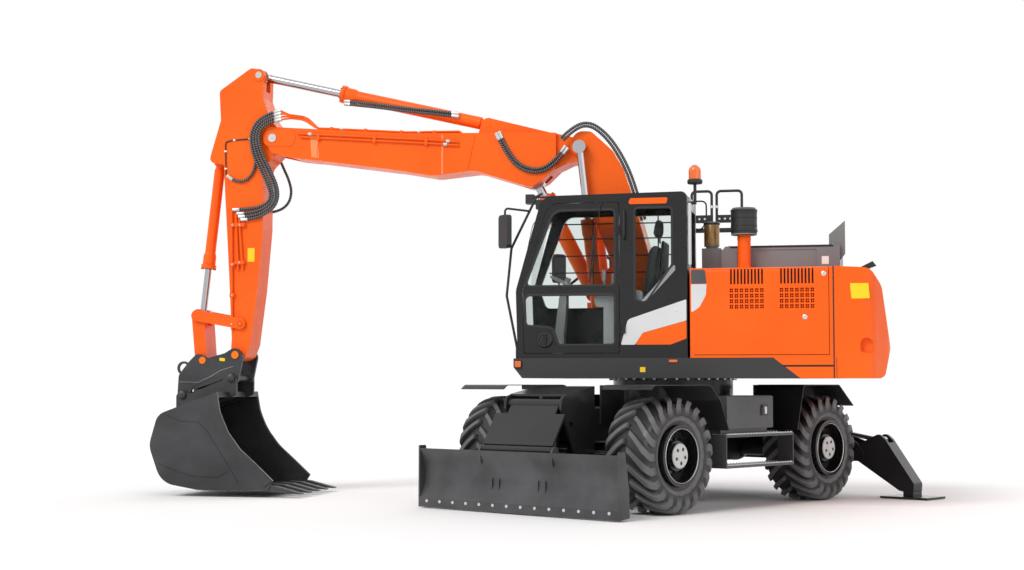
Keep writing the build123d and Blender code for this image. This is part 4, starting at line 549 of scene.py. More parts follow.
teeth_x = np.arange(-0.405, 0.775, 0.013)
toothed = np.stack([teeth_x, 0.020 + 0.009 * (np.arange(len(teeth_x)) // 2 % 2)], -1)
strip = np.vstack([[(teeth_x[0], 0.0)], toothed, [(teeth_x[-1], 0.0)]])
sheets = [plate_between([(-0.410, side * 1.062), (0.775, side * 1.062), (0.775, side * 1.232),
                         (-0.410, side * 1.232)], z - 0.0005, z + 0.0012, laid)
          for side in (1, -1) for z in STEP_TOPS]
fitted("step_plates", joined(sheets), bright_steel, "undercarriage")
edges = [plate_between(strip + (0, z - 0.016), y, y + side * 0.003, upright)
         for side in (1, -1) for z in STEP_TOPS for y in (side * 1.236, side * 1.060)]
fitted("step_toothed_edges", joined(edges), bright_steel, "undercarriage")
BOX_FACE = 1.208
latch_rim = plate_between([(0.020, 0.925), (0.120, 0.925), (0.120, 1.035), (0.020, 1.035)], BOX_FACE + 0.0125,
                          BOX_FACE + 0.0145, upright)
fitted("tool_box_latch_rim", latch_rim, rim_paint, "tool_box_lid")
latch = plate_between([(0.045, 0.945), (0.085, 0.945), (0.085, 1.015), (0.045, 1.015)], BOX_FACE + 0.0145,
                      BOX_FACE + 0.0185, upright)
fitted("tool_box_latch", latch, bright_steel, "tool_box_lid")

edge_holes = [(2.5405, y, 0.075) for y in np.linspace(-1.18, 1.18, 14)]
edge_bolt = turned([(0, 0), (0.017, 0), (0.015, 0.004), (0.006, 0.005), (0, 0.003)], (0, 0, 0), CHASSIS_X, 16)
fitted("blade_edge_bolts", repeated(edge_bolt, chassis(edge_holes)), bright_steel, "blade")


# ---------------------------------------------------------------- cab panels, trims and seals
# The cab's lower rear corner carries a silver sweep round an orange field, and its roof an
# orange strip.  All are painted on thin pressed panels screwed to the charcoal shell.
def rounded(rows, steps=7):
    """Outline from rows (a, b, radius), each corner an arc tangent to both of its sides."""
    corners = np.array([row[:2] for row in rows], float)
    outline = []
    for here, before, after, (_, _, radius) in zip(corners, np.roll(corners, 1, 0), np.roll(corners, -1, 0),
                                                   rows):
        back, ahead = ((other - here) / np.linalg.norm(other - here) for other in (before, after))
        half = np.arccos(np.clip(back @ ahead, -1, 1)) / 2
        if radius <= 0 or half > 1.55:
            outline.append(here[None])
            continue
        reach = radius / np.tan(half)
        centre = here + (back + ahead) / np.linalg.norm(back + ahead) * radius / np.sin(half)
        start, stop = here + back * reach - centre, here + ahead * reach - centre
        sweep = np.arctan2(start[0] * stop[1] - start[1] * stop[0], start @ stop) * np.linspace(0, 1, steps)
        outline.append(centre + np.stack([start[0] * np.cos(sweep) - start[1] * np.sin(sweep),
                                          start[0] * np.sin(sweep) + start[1] * np.cos(sweep)], -1))
    return np.vstack(outline)


def side_panel(rows, y0, y1, steps=7):
    """Flat panel of the outline rows (x, z, radius), in metres about the slew axis, from y0 to y1."""
    points, faces = sheet(rounded(rows, steps), y0, y1, upright)
    return machine(points), faces


def oblong(x0, x1, z0, z1, radius):
    """Rows of an upright rectangle whose corners have the radius."""
    return [(x0, z0, radius), (x1, z0, radius), (x1, z1, radius), (x0, z1, radius)]


CAB_SIDE = 1.249
silver_paint = lacquer("silver_paint", (214, 214, 214), (204, 204, 205), 0.32)
patch_grey = lacquer("patch_grey", (84, 84, 86), (78, 78, 80), 0.4)
strip_grey = lacquer("strip_grey", (150, 150, 152), (142, 142, 144), 0.4)
for name, rows, out, finish in (
        ("cab_sweep", [(0.372, 1.640, 0.01), (0.300, 1.895, 0.06), (-0.290, 2.092, 0.01),
                       (-0.290, 1.880, 0.01),
                       (0.150, 1.760, 0.05), (0.230, 1.640, 0.01)], 0.0016, silver_paint),
        ("cab_orange_field", [(0.228, 1.640, 0.01), (0.150, 1.758, 0.05), (-0.290, 1.878, 0.01),
                              (-0.290, 1.700, 0.02), (-0.130, 1.640, 0.02)], 0.0016, orange_paint),
        ("cab_roof_strip", [(0.300, 3.060, 0.02), (0.270, 3.120, 0.02), (-0.110, 3.120, 0.015),
                            (-0.095, 3.060, 0.015)], 0.0016, orange_paint),
        ("quarter_strip", [(0.180, 2.060, 0.01), (0.120, 2.065, 0.01), (-0.180, 2.385, 0.01),
                           (-0.180, 2.450, 0.01)], 0.0030, strip_grey)):
    piece = new_mesh(name, *side_panel(rows, CAB_SIDE - 0.004, CAB_SIDE + out))
    smooth_piece(piece, finish, "revolving_frame")

# The same sweep runs on over the front edge of the hood as a grey patch and a silver end.
for name, rows, finish in (
        ("hood_patch", [(-0.338, 2.245, 0.005), (-0.338, 2.385, 0.02), (-0.478, 2.385, 0.02),
                        (-0.493, 2.245, 0.01)], patch_grey),
        ("hood_sweep_end", [(-0.338, 1.955, 0.01), (-0.338, 2.240, 0.005), (-0.493, 2.240, 0.005),
                            (-0.484, 2.130, 0.06), (-0.420, 2.010, 0.08)], silver_paint)):
    piece = new_mesh(name, *side_panel(rows, CAB_SIDE - 0.003, CAB_SIDE + 0.0016))
    smooth_piece(piece, finish, "engine_door")


# ---------------------------------------------------------------- window seals
# Each pane sits in a black rubber seal, a lipped strip pushed on to the edge of the opening.
# The seals of the door's two panes swing with it.
seal_rubber, seal_tree, seal_shader = material("seal_rubber", (18, 18, 18), 0.6)
relief(seal_tree, seal_shader, speckle(seal_tree, 300.0), 0.2, 0.0004)


def carried(profile, path, up, closed=False):
    """Profile (a, b) carried along a path: each ring stands square to it, b towards up."""
    path, profile = np.asarray(path, float), np.asarray(profile, float)
    step = np.roll(path, -1, 0) - np.roll(path, 1, 0) if closed else np.gradient(path, axis=0)
    along = step / np.linalg.norm(step, axis=1, keepdims=True)
    side = np.cross(along, up)
    side /= np.linalg.norm(side, axis=1, keepdims=True)
    rise = np.cross(side, along)
    points = (path[:, None] + profile[None, :, :1] * side[:, None] + profile[None, :, 1:] * rise[:, None])
    faces = quads(len(path), len(profile), closed, True)
    if not closed:
        count, last = len(profile), (len(path) - 1) * len(profile)
        faces += [list(range(count)), list(range(last + count - 1, last - 1, -1))]
    return points.reshape(-1, 3), faces


def seal(rows, y, thick=0.012, proud=0.004):
    """Seal carried round the outline rows (x, z, radius) at the height y."""
    outline = rounded(rows)
    keep = np.linalg.norm(outline - np.roll(outline, 1, 0), axis=1) > 1e-5
    path = machine(np.stack([outline[keep, 0], np.full(keep.sum(), y), outline[keep, 1]], -1))
    section = [(-thick, -proud), (-thick, 0.6 * proud), (-0.5 * thick, proud), (0.5 * thick, proud),
               (thick, 0.6 * proud), (thick, -proud)]
    return carried(section, path, (0, 1, 0), True)


quarter_window = [(0.230, 2.090, 0.04), (0.120, 2.060, 0.06), (-0.150, 2.440, 0.06), (-0.150, 3.020, 0.04),
                  (0.230, 3.020, 0.04)]
door_window = [(0.430, 2.240, 0.04), (0.430, 3.010, 0.04), (1.060, 3.010, 0.13), (1.360, 2.240, 0.04)]
door_low_window = [(0.430, 1.640, 0.04), (0.430, 2.150, 0.04), (1.365, 2.150, 0.06), (1.352, 1.840, 0.04),
                   (1.070, 1.815, 0.06), (1.010, 1.640, 0.04)]
fitted("quarter_seal", seal(quarter_window, CAB_SIDE), seal_rubber, "revolving_frame")
fitted("door_seals", joined([seal(door_window, CAB_SIDE), seal(door_low_window, CAB_SIDE)]), seal_rubber,
       "cab_door")

# ---------------------------------------------------------------- cab fittings
# A wiper parks over the door's upper pane, the door has a round handle cup, and a black grab bar
# and a silver rain pipe stand at its posts.  Bars guard the pane beside the boom.
def round_section(radius, sides=10):
    """Circle of the radius as profile points."""
    angle = np.arange(sides) * 2 * pi / sides
    return np.stack([radius * np.cos(angle), radius * np.sin(angle)], -1)


def rod(points, radius, up=(0, 1, 0), sides=10):
    """Round rod through points about the slew axis, each corner eased by a curve of degree two."""
    points = np.asarray(points, float)
    t = np.linspace(0, 1, 7)[:, None]
    path = [points[:1]]
    for before, here, after in zip(points, points[1:], points[2:]):
        ease = min(0.4 * np.linalg.norm(here - before), 0.4 * np.linalg.norm(after - here), 0.06)
        first = here + (before - here) / np.linalg.norm(before - here) * ease
        last = here + (after - here) / np.linalg.norm(after - here) * ease
        path.append((1 - t) ** 2 * first + 2 * t * (1 - t) * here + t ** 2 * last)
    path.append(points[-1:])
    return carried(round_section(radius, sides), machine(np.vstack(path)), up)


wiper = joined([rod([(0.566, 1.256, 3.085), (0.575, 1.262, 3.060), (0.665, 1.268, 2.350)], 0.006),
                rod([(0.640, 1.262, 2.750), (0.690, 1.262, 2.270)], 0.009)])
fitted("wiper", wiper, seal_rubber, "cab_door")
handle = turned([(0, 0.010), (0.052, 0.010), (0.058, 0.020), (0.070, 0.020), (0.082, 0.010), (0.085, 0),
                 (0, 0)],
                machine([1.151, CAB_SIDE, 1.696]), (0, 1, 0), 48)
fitted("door_handle_cup", handle, black_plastic, "cab_door")
grip = side_panel(oblong(1.136, 1.166, 1.640, 1.752, 0.008), CAB_SIDE + 0.009, CAB_SIDE + 0.028)
fitted("door_handle_grip", grip, charcoal_paint, "cab_door")
post_bar = rod([(0.330, 1.249, 2.995), (0.330, 1.290, 2.980), (0.330, 1.290, 2.720), (0.330, 1.249, 2.705)],
               0.010, (1, 0, 0))
fitted("post_grab_bar", post_bar, black_plastic, "revolving_frame")
pipe = rod([(-0.322, 1.215, 3.060), (-0.322, 1.215, 2.440)], 0.020, (0, 1, 0), 16)
fitted("rain_pipe", pipe, silver_paint, "revolving_frame")
GUARD_Y, GUARD_R = 0.392, 0.007
guards = [rod([(-0.15, GUARD_Y, z), (1.33 - 0.3 * (z - 2.25), GUARD_Y, z)], GUARD_R, (0, 1, 0), 6)
          for z in (2.43, 2.61, 2.79, 2.95)]
guards += [rod([(x, GUARD_Y, 2.26), (x, GUARD_Y, 3.03)], GUARD_R, (0, 1, 0), 6) for x in (0.10, 0.45, 0.80)]
fitted("boom_side_guard", joined(guards), black_plastic, "revolving_frame")
sweep_screw = hex_heads(machine([(-0.190, CAB_SIDE + 0.001, 1.980)]), (0, 1, 0), 0.010, 0.005)
fitted("sweep_screw", sweep_screw, bright_steel, "revolving_frame")
blank_yellow = lacquer("blank_label_yellow", (244, 208, 40), (240, 202, 34), 0.5)
labels = joined([side_panel([(x, z, 0.006), (x + w, z, 0.006), (x + w + lean, z + h, 0.006),
                             (x + lean, z + h, 0.006)],
                            y, y + 0.0012)
                 for x, y, z, w, h, lean in ((-2.080, 1.2488, 2.081, 0.176, 0.150, 0.012),
                                             (0.125, 1.2492, 1.365, 0.055, 0.05, 0))])
fitted("blank_labels", labels, blank_yellow, "revolving_frame")


# ---------------------------------------------------------------- lamps
# The beacon's amber dome on a black base, the clear lenses of the two work lamps on the roof
# and the amber lenses of the platform's marker lamps.
clear, _, clear_shader = material("lamp_lens", (232, 234, 236), 0.12)
clear_shader.inputs["Coat Weight"].default_value = 0.5
amber_tree = amber.node_tree
vary(amber_tree, amber_shader, speckle(amber_tree, 60.0), (240, 112, 10), (222, 92, 6))
amber_shader.inputs["Coat Weight"].default_value = 0.6
dome_at = machine([-0.346, 0.900, 0])
angle = np.linspace(0, pi / 2, 14)
dome = [(0.064, 3.335), (0.064, 3.424)] + list(zip(0.0635 * np.cos(angle), 3.424 + 0.0625 * np.sin(angle)))
fitted("beacon_dome", turned([(0, 3.335)] + dome, dome_at, (0, 0, 1), 64), amber, "revolving_frame")
base = turned([(0, 3.290), (0.070, 3.290), (0.078, 3.300), (0.078, 3.326), (0.068, 3.338), (0, 3.338)],
              dome_at, (0, 0, 1), 48)
fitted("beacon_base", base, black_plastic, "revolving_frame")


def block(low, high, edge=0.004):
    """Box with bevelled edges: the outline's corners cut in X and Z, its two faces set in by the edge."""
    (x0, y0, z0), (x1, y1, z1) = low, high
    rings = []
    for y, inset in ((y0, edge), (y0 + edge, 0), (y1 - edge, 0), (y1, edge)):
        a0, a1, c0, c1 = x0 + inset, x1 - inset, z0 + inset, z1 - inset
        rings.append([(a0 + edge, y, c0), (a1 - edge, y, c0), (a1, y, c0 + edge), (a1, y, c1 - edge),
                      (a1 - edge, y, c1), (a0 + edge, y, c1), (a0, y, c1 - edge), (a0, y, c0 + edge)])
    faces = quads(4, 8, False, True) + [list(range(8)), list(range(31, 23, -1))]
    return machine(np.array(rings).reshape(-1, 3)), faces


lenses = joined([block((1.380, y - 0.050, 3.114), (1.387, y + 0.050, 3.196), 0.003) for y in (0.530, 1.049)])
fitted("work_lamp_lenses", lenses, clear, "revolving_frame")
markers = joined([block((1.399, 1.262, 1.416), (1.461, 1.276, 1.478)),
                  block((-0.197, 1.250, 1.463), (-0.113, 1.259, 1.489), 0.002)])
fitted("marker_lenses", markers, amber, "revolving_frame")


# ---------------------------------------------------------------- seat and consoles
# A sprung seat: cushion, back and headrest of foam in woven grey cloth, blown out by their
# filling and held on a black shell.  Boots close the levers' slots in the side consoles.
PAD_CAP, PAD_VOXEL, PAD_PRESSURE = 0.022, 0.006, 4.0
seat_low, seat_high = (np.array(corner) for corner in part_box("driver_seat"))
SEAT_Y, SEAT_HALF = (seat_low[1] + seat_high[1]) / 2 - SLEW[1], (seat_high[1] - seat_low[1]) / 2


def soft(value):
    """The value to the power 0.35, with its sign kept."""
    return np.sign(value) * np.abs(value) ** 0.35


def pad(centre, size, rise, lean):
    """Superellipsoid: powers 0.35 of cosine and sine of two angles, sheared up along X and back along Z."""
    u, v = np.linspace(-pi / 2, pi / 2, 33)[:, None], np.linspace(-pi, pi, 64, endpoint=False)[None, :]
    x, y = soft(np.cos(u)) * soft(np.cos(v)) * size[0] / 2, soft(np.cos(u)) * soft(np.sin(v)) * size[1] / 2
    z = soft(np.sin(u)) * np.ones_like(v) * size[2] / 2
    return machine(np.stack([x + lean * z, y, z + rise * x], -1) + centre)


def stuffed(obj):
    """Swells the closed mesh by cloth under pressure; no point moves further than the cap."""
    bpy.context.view_layer.objects.active = obj
    remesh = obj.modifiers.new("remesh", "REMESH")
    remesh.mode, remesh.voxel_size = "VOXEL", PAD_VOXEL
    bpy.ops.object.modifier_apply(modifier="remesh")
    rest = np.empty(len(obj.data.vertices) * 3)
    obj.data.vertices.foreach_get("co", rest)
    cloth_sim = obj.modifiers.new("cloth", "CLOTH")
    cloth_sim.settings.use_pressure = True
    cloth_sim.settings.uniform_pressure_force = PAD_PRESSURE
    cloth_sim.settings.effector_weights.gravity = 0
    for frame_number in range(1, 21):
        scene.frame_set(frame_number)
    bpy.ops.object.modifier_apply(modifier="cloth")
    blown = np.empty_like(rest)
    obj.data.vertices.foreach_get("co", blown)
    move = (blown - rest).reshape(-1, 3)
    reach = np.linalg.norm(move, axis=1, keepdims=True)
    capped = rest.reshape(-1, 3) + move * np.minimum(1, PAD_CAP / np.maximum(reach, 1e-9))
    obj.data.vertices.foreach_set("co", capped.ravel())
    obj.data.update()
    scene.frame_set(1)


for name, centre, size, rise, lean in (
        ("seat_cushion", (0.368, SEAT_Y, 2.012), (0.455, 2 * SEAT_HALF - 0.050, 0.100), 0.055, 0),
        ("seat_back", (0.092, SEAT_Y, 2.385), (0.088, 2 * SEAT_HALF - 0.070, 0.570), 0, -0.150),
        ("seat_headrest", (0.036, SEAT_Y, 2.838), (0.062, 0.215, 0.180), 0, -0.100)):
    cushion = new_mesh(name, pad(centre, size, rise, lean), quads(33, 64, False, True))
    smooth_piece(cushion, cloth, "revolving_frame", 80)
    stuffed(cushion)
    cushion.data.shade_smooth()
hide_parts("driver_seat")
wings = [side_panel([(-0.020, 2.06, 0.03), (0.075, 2.03, 0.03), (0.030, 2.40, 0.2), (-0.020, 2.70, 0.02),
                     (-0.045, 2.70, 0.02)], SEAT_Y - SEAT_HALF + 0.03, SEAT_Y + SEAT_HALF - 0.03),
         side_panel([(0.130, 1.900, 0.02), (0.600, 1.900, 0.02), (0.580, 1.955, 0.02), (0.130, 1.935, 0.02)],
                    SEAT_Y - SEAT_HALF + 0.02, SEAT_Y + SEAT_HALF - 0.02),
         side_panel([(0.200, 1.655, 0.01), (0.520, 1.655, 0.01), (0.500, 1.900, 0.03), (0.220, 1.900, 0.03)],
                    SEAT_Y - SEAT_HALF + 0.09, SEAT_Y + SEAT_HALF - 0.09),
         rod([(0.030, SEAT_Y - 0.05, 2.69), (0.030, SEAT_Y - 0.05, 2.78)], 0.006),
         rod([(0.030, SEAT_Y + 0.05, 2.69), (0.030, SEAT_Y + 0.05, 2.78)], 0.006)]
fitted("seat_shell", joined(wings), black_plastic, "revolving_frame")
console_low, console_high = (np.array(corner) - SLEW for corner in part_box("console"))
boots = [turned([(0, 0), (0.042, 0), (0.042, 0.010), (0.033, 0.016), (0.035, 0.026), (0.025, 0.034),
                 (0.026, 0.042), (0.016, 0.052), (0, 0.052)], machine([0.560, y, 2.170]), (0, 0, 1), 32)
         for y in (console_low[1] + 0.055, console_high[1] - 0.055)]
fitted("lever_boots", joined(boots), seal_rubber, "revolving_frame")
tag = side_panel(oblong(0.300, 0.350, 2.080, 2.120, 0.005), console_high[1] - 0.0006,
                 console_high[1] + 0.0010)
fitted("blank_console_tag", tag, blank_yellow, "revolving_frame")


# ---------------------------------------------------------------- hood, deck and exhaust side
# Dark sheets behind the louvres and the mesh are painted shade for the hollow of the engine bay,
# and turn locks hold the engine door.  On top stand an orange intake pipe under a black
# pre-cleaner drum, and a bronze filter bowl.
GRILLES, MESH_Y, WIRE_R = (-0.888, -1.380), 1.236, 0.0036
# Thin sheets just behind the grilles, black behind the louvres and dark red behind the mesh: painted shade.
red_shade_sheet = plastic("painted_shade_red", (112, 30, 14), 0.7)
for name, z0, z1, finish in (("louvre_shade_sheet", 2.216, 2.400, seal_rubber),
                             ("mesh_shade_sheet", 1.950, 2.214, red_shade_sheet)):
    backing = joined([side_panel(oblong(x0, x1, z0, z1, 0.01), 1.2145, 1.2165)
                      for x0, x1 in ((-1.09, -0.69), (-1.58, -1.18))])
    fitted(name, backing, finish, "engine_door")
wires = []
for middle in GRILLES:
    columns = middle + (np.arange(7) - 3) * 0.050
    rows = 2.093 + (np.arange(4) - 1.5) * 0.054
    wires += [rod([(x, MESH_Y, rows[0] - 0.03), (x, MESH_Y, rows[-1] + 0.03)], WIRE_R, (0, 1, 0), 6)
              for x in columns]
    wires += [rod([(columns[0] - 0.03, MESH_Y, z), (columns[-1] + 0.03, MESH_Y, z)], WIRE_R, (0, 1, 0), 6)
              for z in rows]
fitted("radiator_mesh", joined(wires), orange_paint, "engine_door")
seam = side_panel(oblong(-1.739, -1.726, 1.306, 2.404, 0), CAB_SIDE - 0.003, CAB_SIDE + 0.0016)
fitted("hood_seam_strip", seam, seal_rubber, "revolving_frame")
belt = side_panel([(-1.726, 1.416, 0), (-1.250, 1.416, 0), (-1.225, 1.434, 0), (-1.726, 1.434, 0)],
                  CAB_SIDE - 0.003, CAB_SIDE + 0.0012)
fitted("platform_belt_line", belt, charcoal_paint, "revolving_frame")
latch_plate = joined([
    side_panel(oblong(-1.486, -1.424, 1.874, 1.934, 0.008), CAB_SIDE - 0.001, CAB_SIDE + 0.0012),
    side_panel(oblong(-1.536, -1.506, 1.880, 1.928, 0.006), CAB_SIDE - 0.001, CAB_SIDE + 0.0010)])
fitted("hood_latch_plate", latch_plate, orange_paint, "engine_door")
locks = [turned([(0, 0), (0.024, 0), (0.024, 0.004), (0.018, 0.007), (0.010, 0.007), (0.008, 0.003),
                 (0, 0.003)],
                machine([x, CAB_SIDE - 0.0005, z]), (0, 1, 0), 32) for x,
         z in ((-1.455, 1.904), (-1.640, 2.330))]
fitted("engine_door_locks", joined(locks), bright_steel, "engine_door")
INTAKE_AT, BOWL_AT = machine([-0.841, 0.900, 0]), machine([-0.490, 0.650, 0])
pipe = turned([(0, 2.408), (0.082, 2.408), (0.082, 2.424), (0.0665, 2.432), (0.0665, 2.700), (0.070, 2.706),
               (0.070, 2.730), (0.0665, 2.736), (0.0665, 2.756), (0, 2.756)], INTAKE_AT, (0, 0, 1), 48)
fitted("intake_pipe", pipe, orange_paint, "revolving_frame")
drum = turned([(0, 2.752), (0.118, 2.752), (0.128, 2.760), (0.132, 2.772), (0.132, 2.786), (0.138, 2.790),
               (0.138, 2.806), (0.132, 2.810), (0.132, 2.990), (0.137, 2.996), (0.137, 3.006), (0.122, 3.020),
               (0.080, 3.029), (0, 3.031)], INTAKE_AT, (0, 0, 1), 72)
fitted("precleaner_drum", drum, black_plastic, "revolving_frame", 30)
bronze, bronze_tree, bronze_shader = material("bronze_bowl", (150, 118, 72), 0.35, 0.6)
vary(bronze_tree, bronze_shader, speckle(bronze_tree, 12.0), (156, 124, 78), (132, 102, 62))
bowl = turned([(0, 2.664), (0.066, 2.664), (0.079, 2.676), (0.0795, 2.880), (0.074, 2.890), (0, 2.890)],
              BOWL_AT, (0, 0, 1), 48)
fitted("filter_bowl", bowl, bronze, "revolving_frame")
lid = turned([(0, 2.889), (0.085, 2.889), (0.086, 2.905), (0.078, 2.916), (0.030, 2.918), (0, 2.918)],
             BOWL_AT, (0, 0, 1), 48)
fitted("filter_lid", lid, black_plastic, "revolving_frame")
clamp_white, clamp_tree, clamp_shader = material("clamp_white", (226, 226, 222), 0.5)
relief(clamp_tree, clamp_shader, speckle(clamp_tree, 200.0), 0.15, 0.0004)
RAIL_PLANE = -0.450
collars = [turned([(0.0153, -0.016), (0.021, -0.014), (0.021, 0.014), (0.0153, 0.016), (0.0153, -0.016)],
                  machine([x, RAIL_PLANE, 3.195]), (0, 0, 1), 24) for x in (-0.385, -0.440)]
fitted("rail_clamps", joined(collars), clamp_white, "revolving_frame")
cross_plates = joined([side_panel(oblong(x0, x1, 3.016, 3.104, 0.012), RAIL_PLANE + 0.012, RAIL_PLANE + 0.018)
                       for x0, x1 in ((-0.400, -0.150), (-0.672, -0.426))]
                      + [rod([(-0.165, RAIL_PLANE, 3.262), (-0.325, RAIL_PLANE, 3.262),
                              (-0.325, RAIL_PLANE, 3.100)],
                             0.009),
                         rod([(-0.170, RAIL_PLANE + 0.01, 3.020), (-0.215, RAIL_PLANE + 0.01, 2.945),
                              (-0.260, RAIL_PLANE + 0.01, 2.945), (-0.330, RAIL_PLANE + 0.01, 3.020)],
                             0.008)])
fitted("rail_cross_plates", cross_plates, black_plastic, "revolving_frame")
bolt_at = machine([(x, RAIL_PLANE + 0.0175, 3.060) for x in (-0.19, -0.25, -0.31, -0.47, -0.53, -0.59)])
plate_bolts = hex_heads(bolt_at, (0, 1, 0), 0.010, 0.006)
fitted("rail_plate_bolts", plate_bolts, clamp_white, "revolving_frame")
deck_edge = rod([(-1.725, 0.800, 2.643), (-0.690, 0.800, 2.643)], 0.010, (0, 0, 1), 8)
fitted("deck_edge_strip", deck_edge, seal_rubber, "revolving_frame")
drum_bands = joined([turned([(0.1325, z - 0.004), (0.1345, z - 0.003), (0.1345, z + 0.003),
                             (0.1325, z + 0.004),
                             (0.1325, z - 0.004)], INTAKE_AT, (0, 0, 1), 72) for z in (2.845, 2.925, 2.975)])
fitted("precleaner_bands", drum_bands, seal_rubber, "revolving_frame")
deck_label = side_panel(oblong(-1.680, -1.610, 2.455, 2.535, 0.004), 0.7995, 0.8008)
fitted("blank_deck_label", deck_label, clamp_white, "revolving_frame")
deck_bolts = hex_heads(machine([(x, y, 2.650) for x in np.linspace(-1.72, -0.68, 6) for y in (-0.96, 0.76)]),
                       (0, 0, 1), 0.009, 0.009)
fitted("deck_bolts", deck_bolts, bright_steel, "revolving_frame")


# ---------------------------------------------------------------- hoses
# Reinforced rubber hoses with a spiral guard wound round them.  Each goes along the route of its
# solid; the two bundles that pass a boom's or the arm's pin are not mounted on a body.
HOSE_R, GUARD_PITCH, GUARD_RISE, HOSE_SIDES = 0.0158, 0.026, 0.0022, 12
BOOM_Y, ARM_Y, NEAR_Y = 0.2173, 0.1723, 0.240
BUNDLE = 0.037                                            # from hose to hose in a bundle


def beside(route, gap):
    """The route moved sideways in its XZ plane by the gap."""
    route = np.asarray(route, float)
    run = np.vstack([route[1:], route[-1:]]) - np.vstack([route[:1], route[:-1]])
    run /= np.hypot(run[:, 0], run[:, 2])[:, None]
    return route + gap * np.stack([-run[:, 2], np.zeros(len(run)), run[:, 0]], -1)


def hose_line(route):
    """Points read from a smooth curve of degree two over the route's points."""
    curve = bpy.data.curves.new("route", "CURVE")
    curve.dimensions, curve.resolution_u = "3D", 48
    spline = curve.splines.new("NURBS")
    spline.points.add(len(route) - 1)
    spline.points.foreach_set("co", np.hstack([machine(route), np.ones((len(route), 1))]).ravel())
    spline.order_u, spline.use_endpoint_u = 3, True
    holder = bpy.data.objects.new("route", curve)
    scene.collection.objects.link(holder)
    bpy.context.view_layer.update()
    mesh = bpy.data.meshes.new_from_object(holder)
    points = np.empty(len(mesh.vertices) * 3)
    mesh.vertices.foreach_get("co", points)
    bpy.data.objects.remove(holder)
    return points.reshape(-1, 3)


def hose(route):
    """Tube along the route; its radius rises by a ripple that winds round it once per pitch."""
    line = hose_line(route)
    run = np.r_[0, np.cumsum(np.linalg.norm(np.diff(line, axis=0), axis=1))]
    along = np.linspace(0, run[-1], int(run[-1] / (GUARD_PITCH / 5)))
    path = np.stack([np.interp(along, run, line[:, k]) for k in range(3)], -1)
    shell, faces = carried(round_section(1.0, HOSE_SIDES), path, (0, 1, 0.02))
    spoke = shell.reshape(-1, HOSE_SIDES, 3) - path[:, None]
    angle = np.arange(HOSE_SIDES) * 2 * pi / HOSE_SIDES
    ripple = HOSE_R + GUARD_RISE * np.cos(2 * pi * along[:, None] / GUARD_PITCH - angle)
    return (path[:, None] + spoke * ripple[..., None]).reshape(-1, 3), faces


def hose_piece(name, routes):
    """Hoses along the routes as one object; its points hold how far they stand out, from 0 to 1."""
    shells = [hose(route) for route in routes]
    obj = new_mesh(name, *joined(shells))
    marks = []
    for points, _ in shells:
        ring = points.reshape(-1, HOSE_SIDES, 3)
        out = np.linalg.norm(ring - ring.mean(1, keepdims=True), axis=2)
        marks.append(np.clip((out - HOSE_R + GUARD_RISE) / (2 * GUARD_RISE), 0, 1).ravel())
    tone = obj.data.attributes.new("ridge_height", "FLOAT", "POINT")
    tone.data.foreach_set("value", np.concatenate(marks).astype(np.float32))
    return obj


# The hoses are painted light grey on the ridges of the spiral guard and near black in its grooves: painted
# highlight and painted shade.
ridge_light_mask = hose_tree.nodes.new("ShaderNodeAttribute")
ridge_light_mask.attribute_name = "ridge_height"
ridge_light_ramp = hose_tree.nodes.new("ShaderNodeValToRGB")
ridge_light_ramp.color_ramp.elements[0].position, ridge_light_ramp.color_ramp.elements[1].position = 0.45, 0.75
ridge_light_ramp.color_ramp.elements[0].color = (0.010, 0.010, 0.010, 1)
ridge_light_ramp.color_ramp.elements[1].color = (0.150, 0.150, 0.152, 1)
hose_tree.links.new(ridge_light_mask.outputs["Fac"], ridge_light_ramp.inputs[0])
hose_tree.links.new(ridge_light_ramp.outputs[0], hose_shader.inputs["Base Color"])


def sleeves(routes, ends):
    """Crimped steel sleeve and nut at the named ends (0 first, -1 last) of each route."""
    shells = []
    for route in routes:
        line = hose_line(route)
        for end in ends:
            tip, inner = (line[0], line[3]) if end == 0 else (line[-1], line[-4])
            inward = (inner - tip) / np.linalg.norm(inner - tip)
            shells.append(turned([(0, -0.012), (0.017, -0.012), (0.022, -0.008), (0.022, 0.014),
                                  (0.0205, 0.016),
                                  (0.0205, 0.070), (0.0185, 0.074), (0, 0.074)], tip, inward, 20))
    return joined(shells)


boom_route = np.array([(1.870, BOOM_Y, 4.000), (1.745, BOOM_Y, 3.740), (1.590, BOOM_Y, 3.605),
                       (1.410, BOOM_Y, 3.575), (1.250, BOOM_Y, 3.670), (1.135, BOOM_Y, 3.820)])
boom_pair = [boom_route, beside(boom_route, BUNDLE)]
boom_bundle = hose_piece("boom_hose_bundle", boom_pair)
smooth_piece(boom_bundle, hose_rubber, "upper_boom", 80)
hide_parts("boom_hoses")
fitted("boom_hose_ends", sleeves(boom_pair, (0, -1)), bright_steel, "upper_boom")

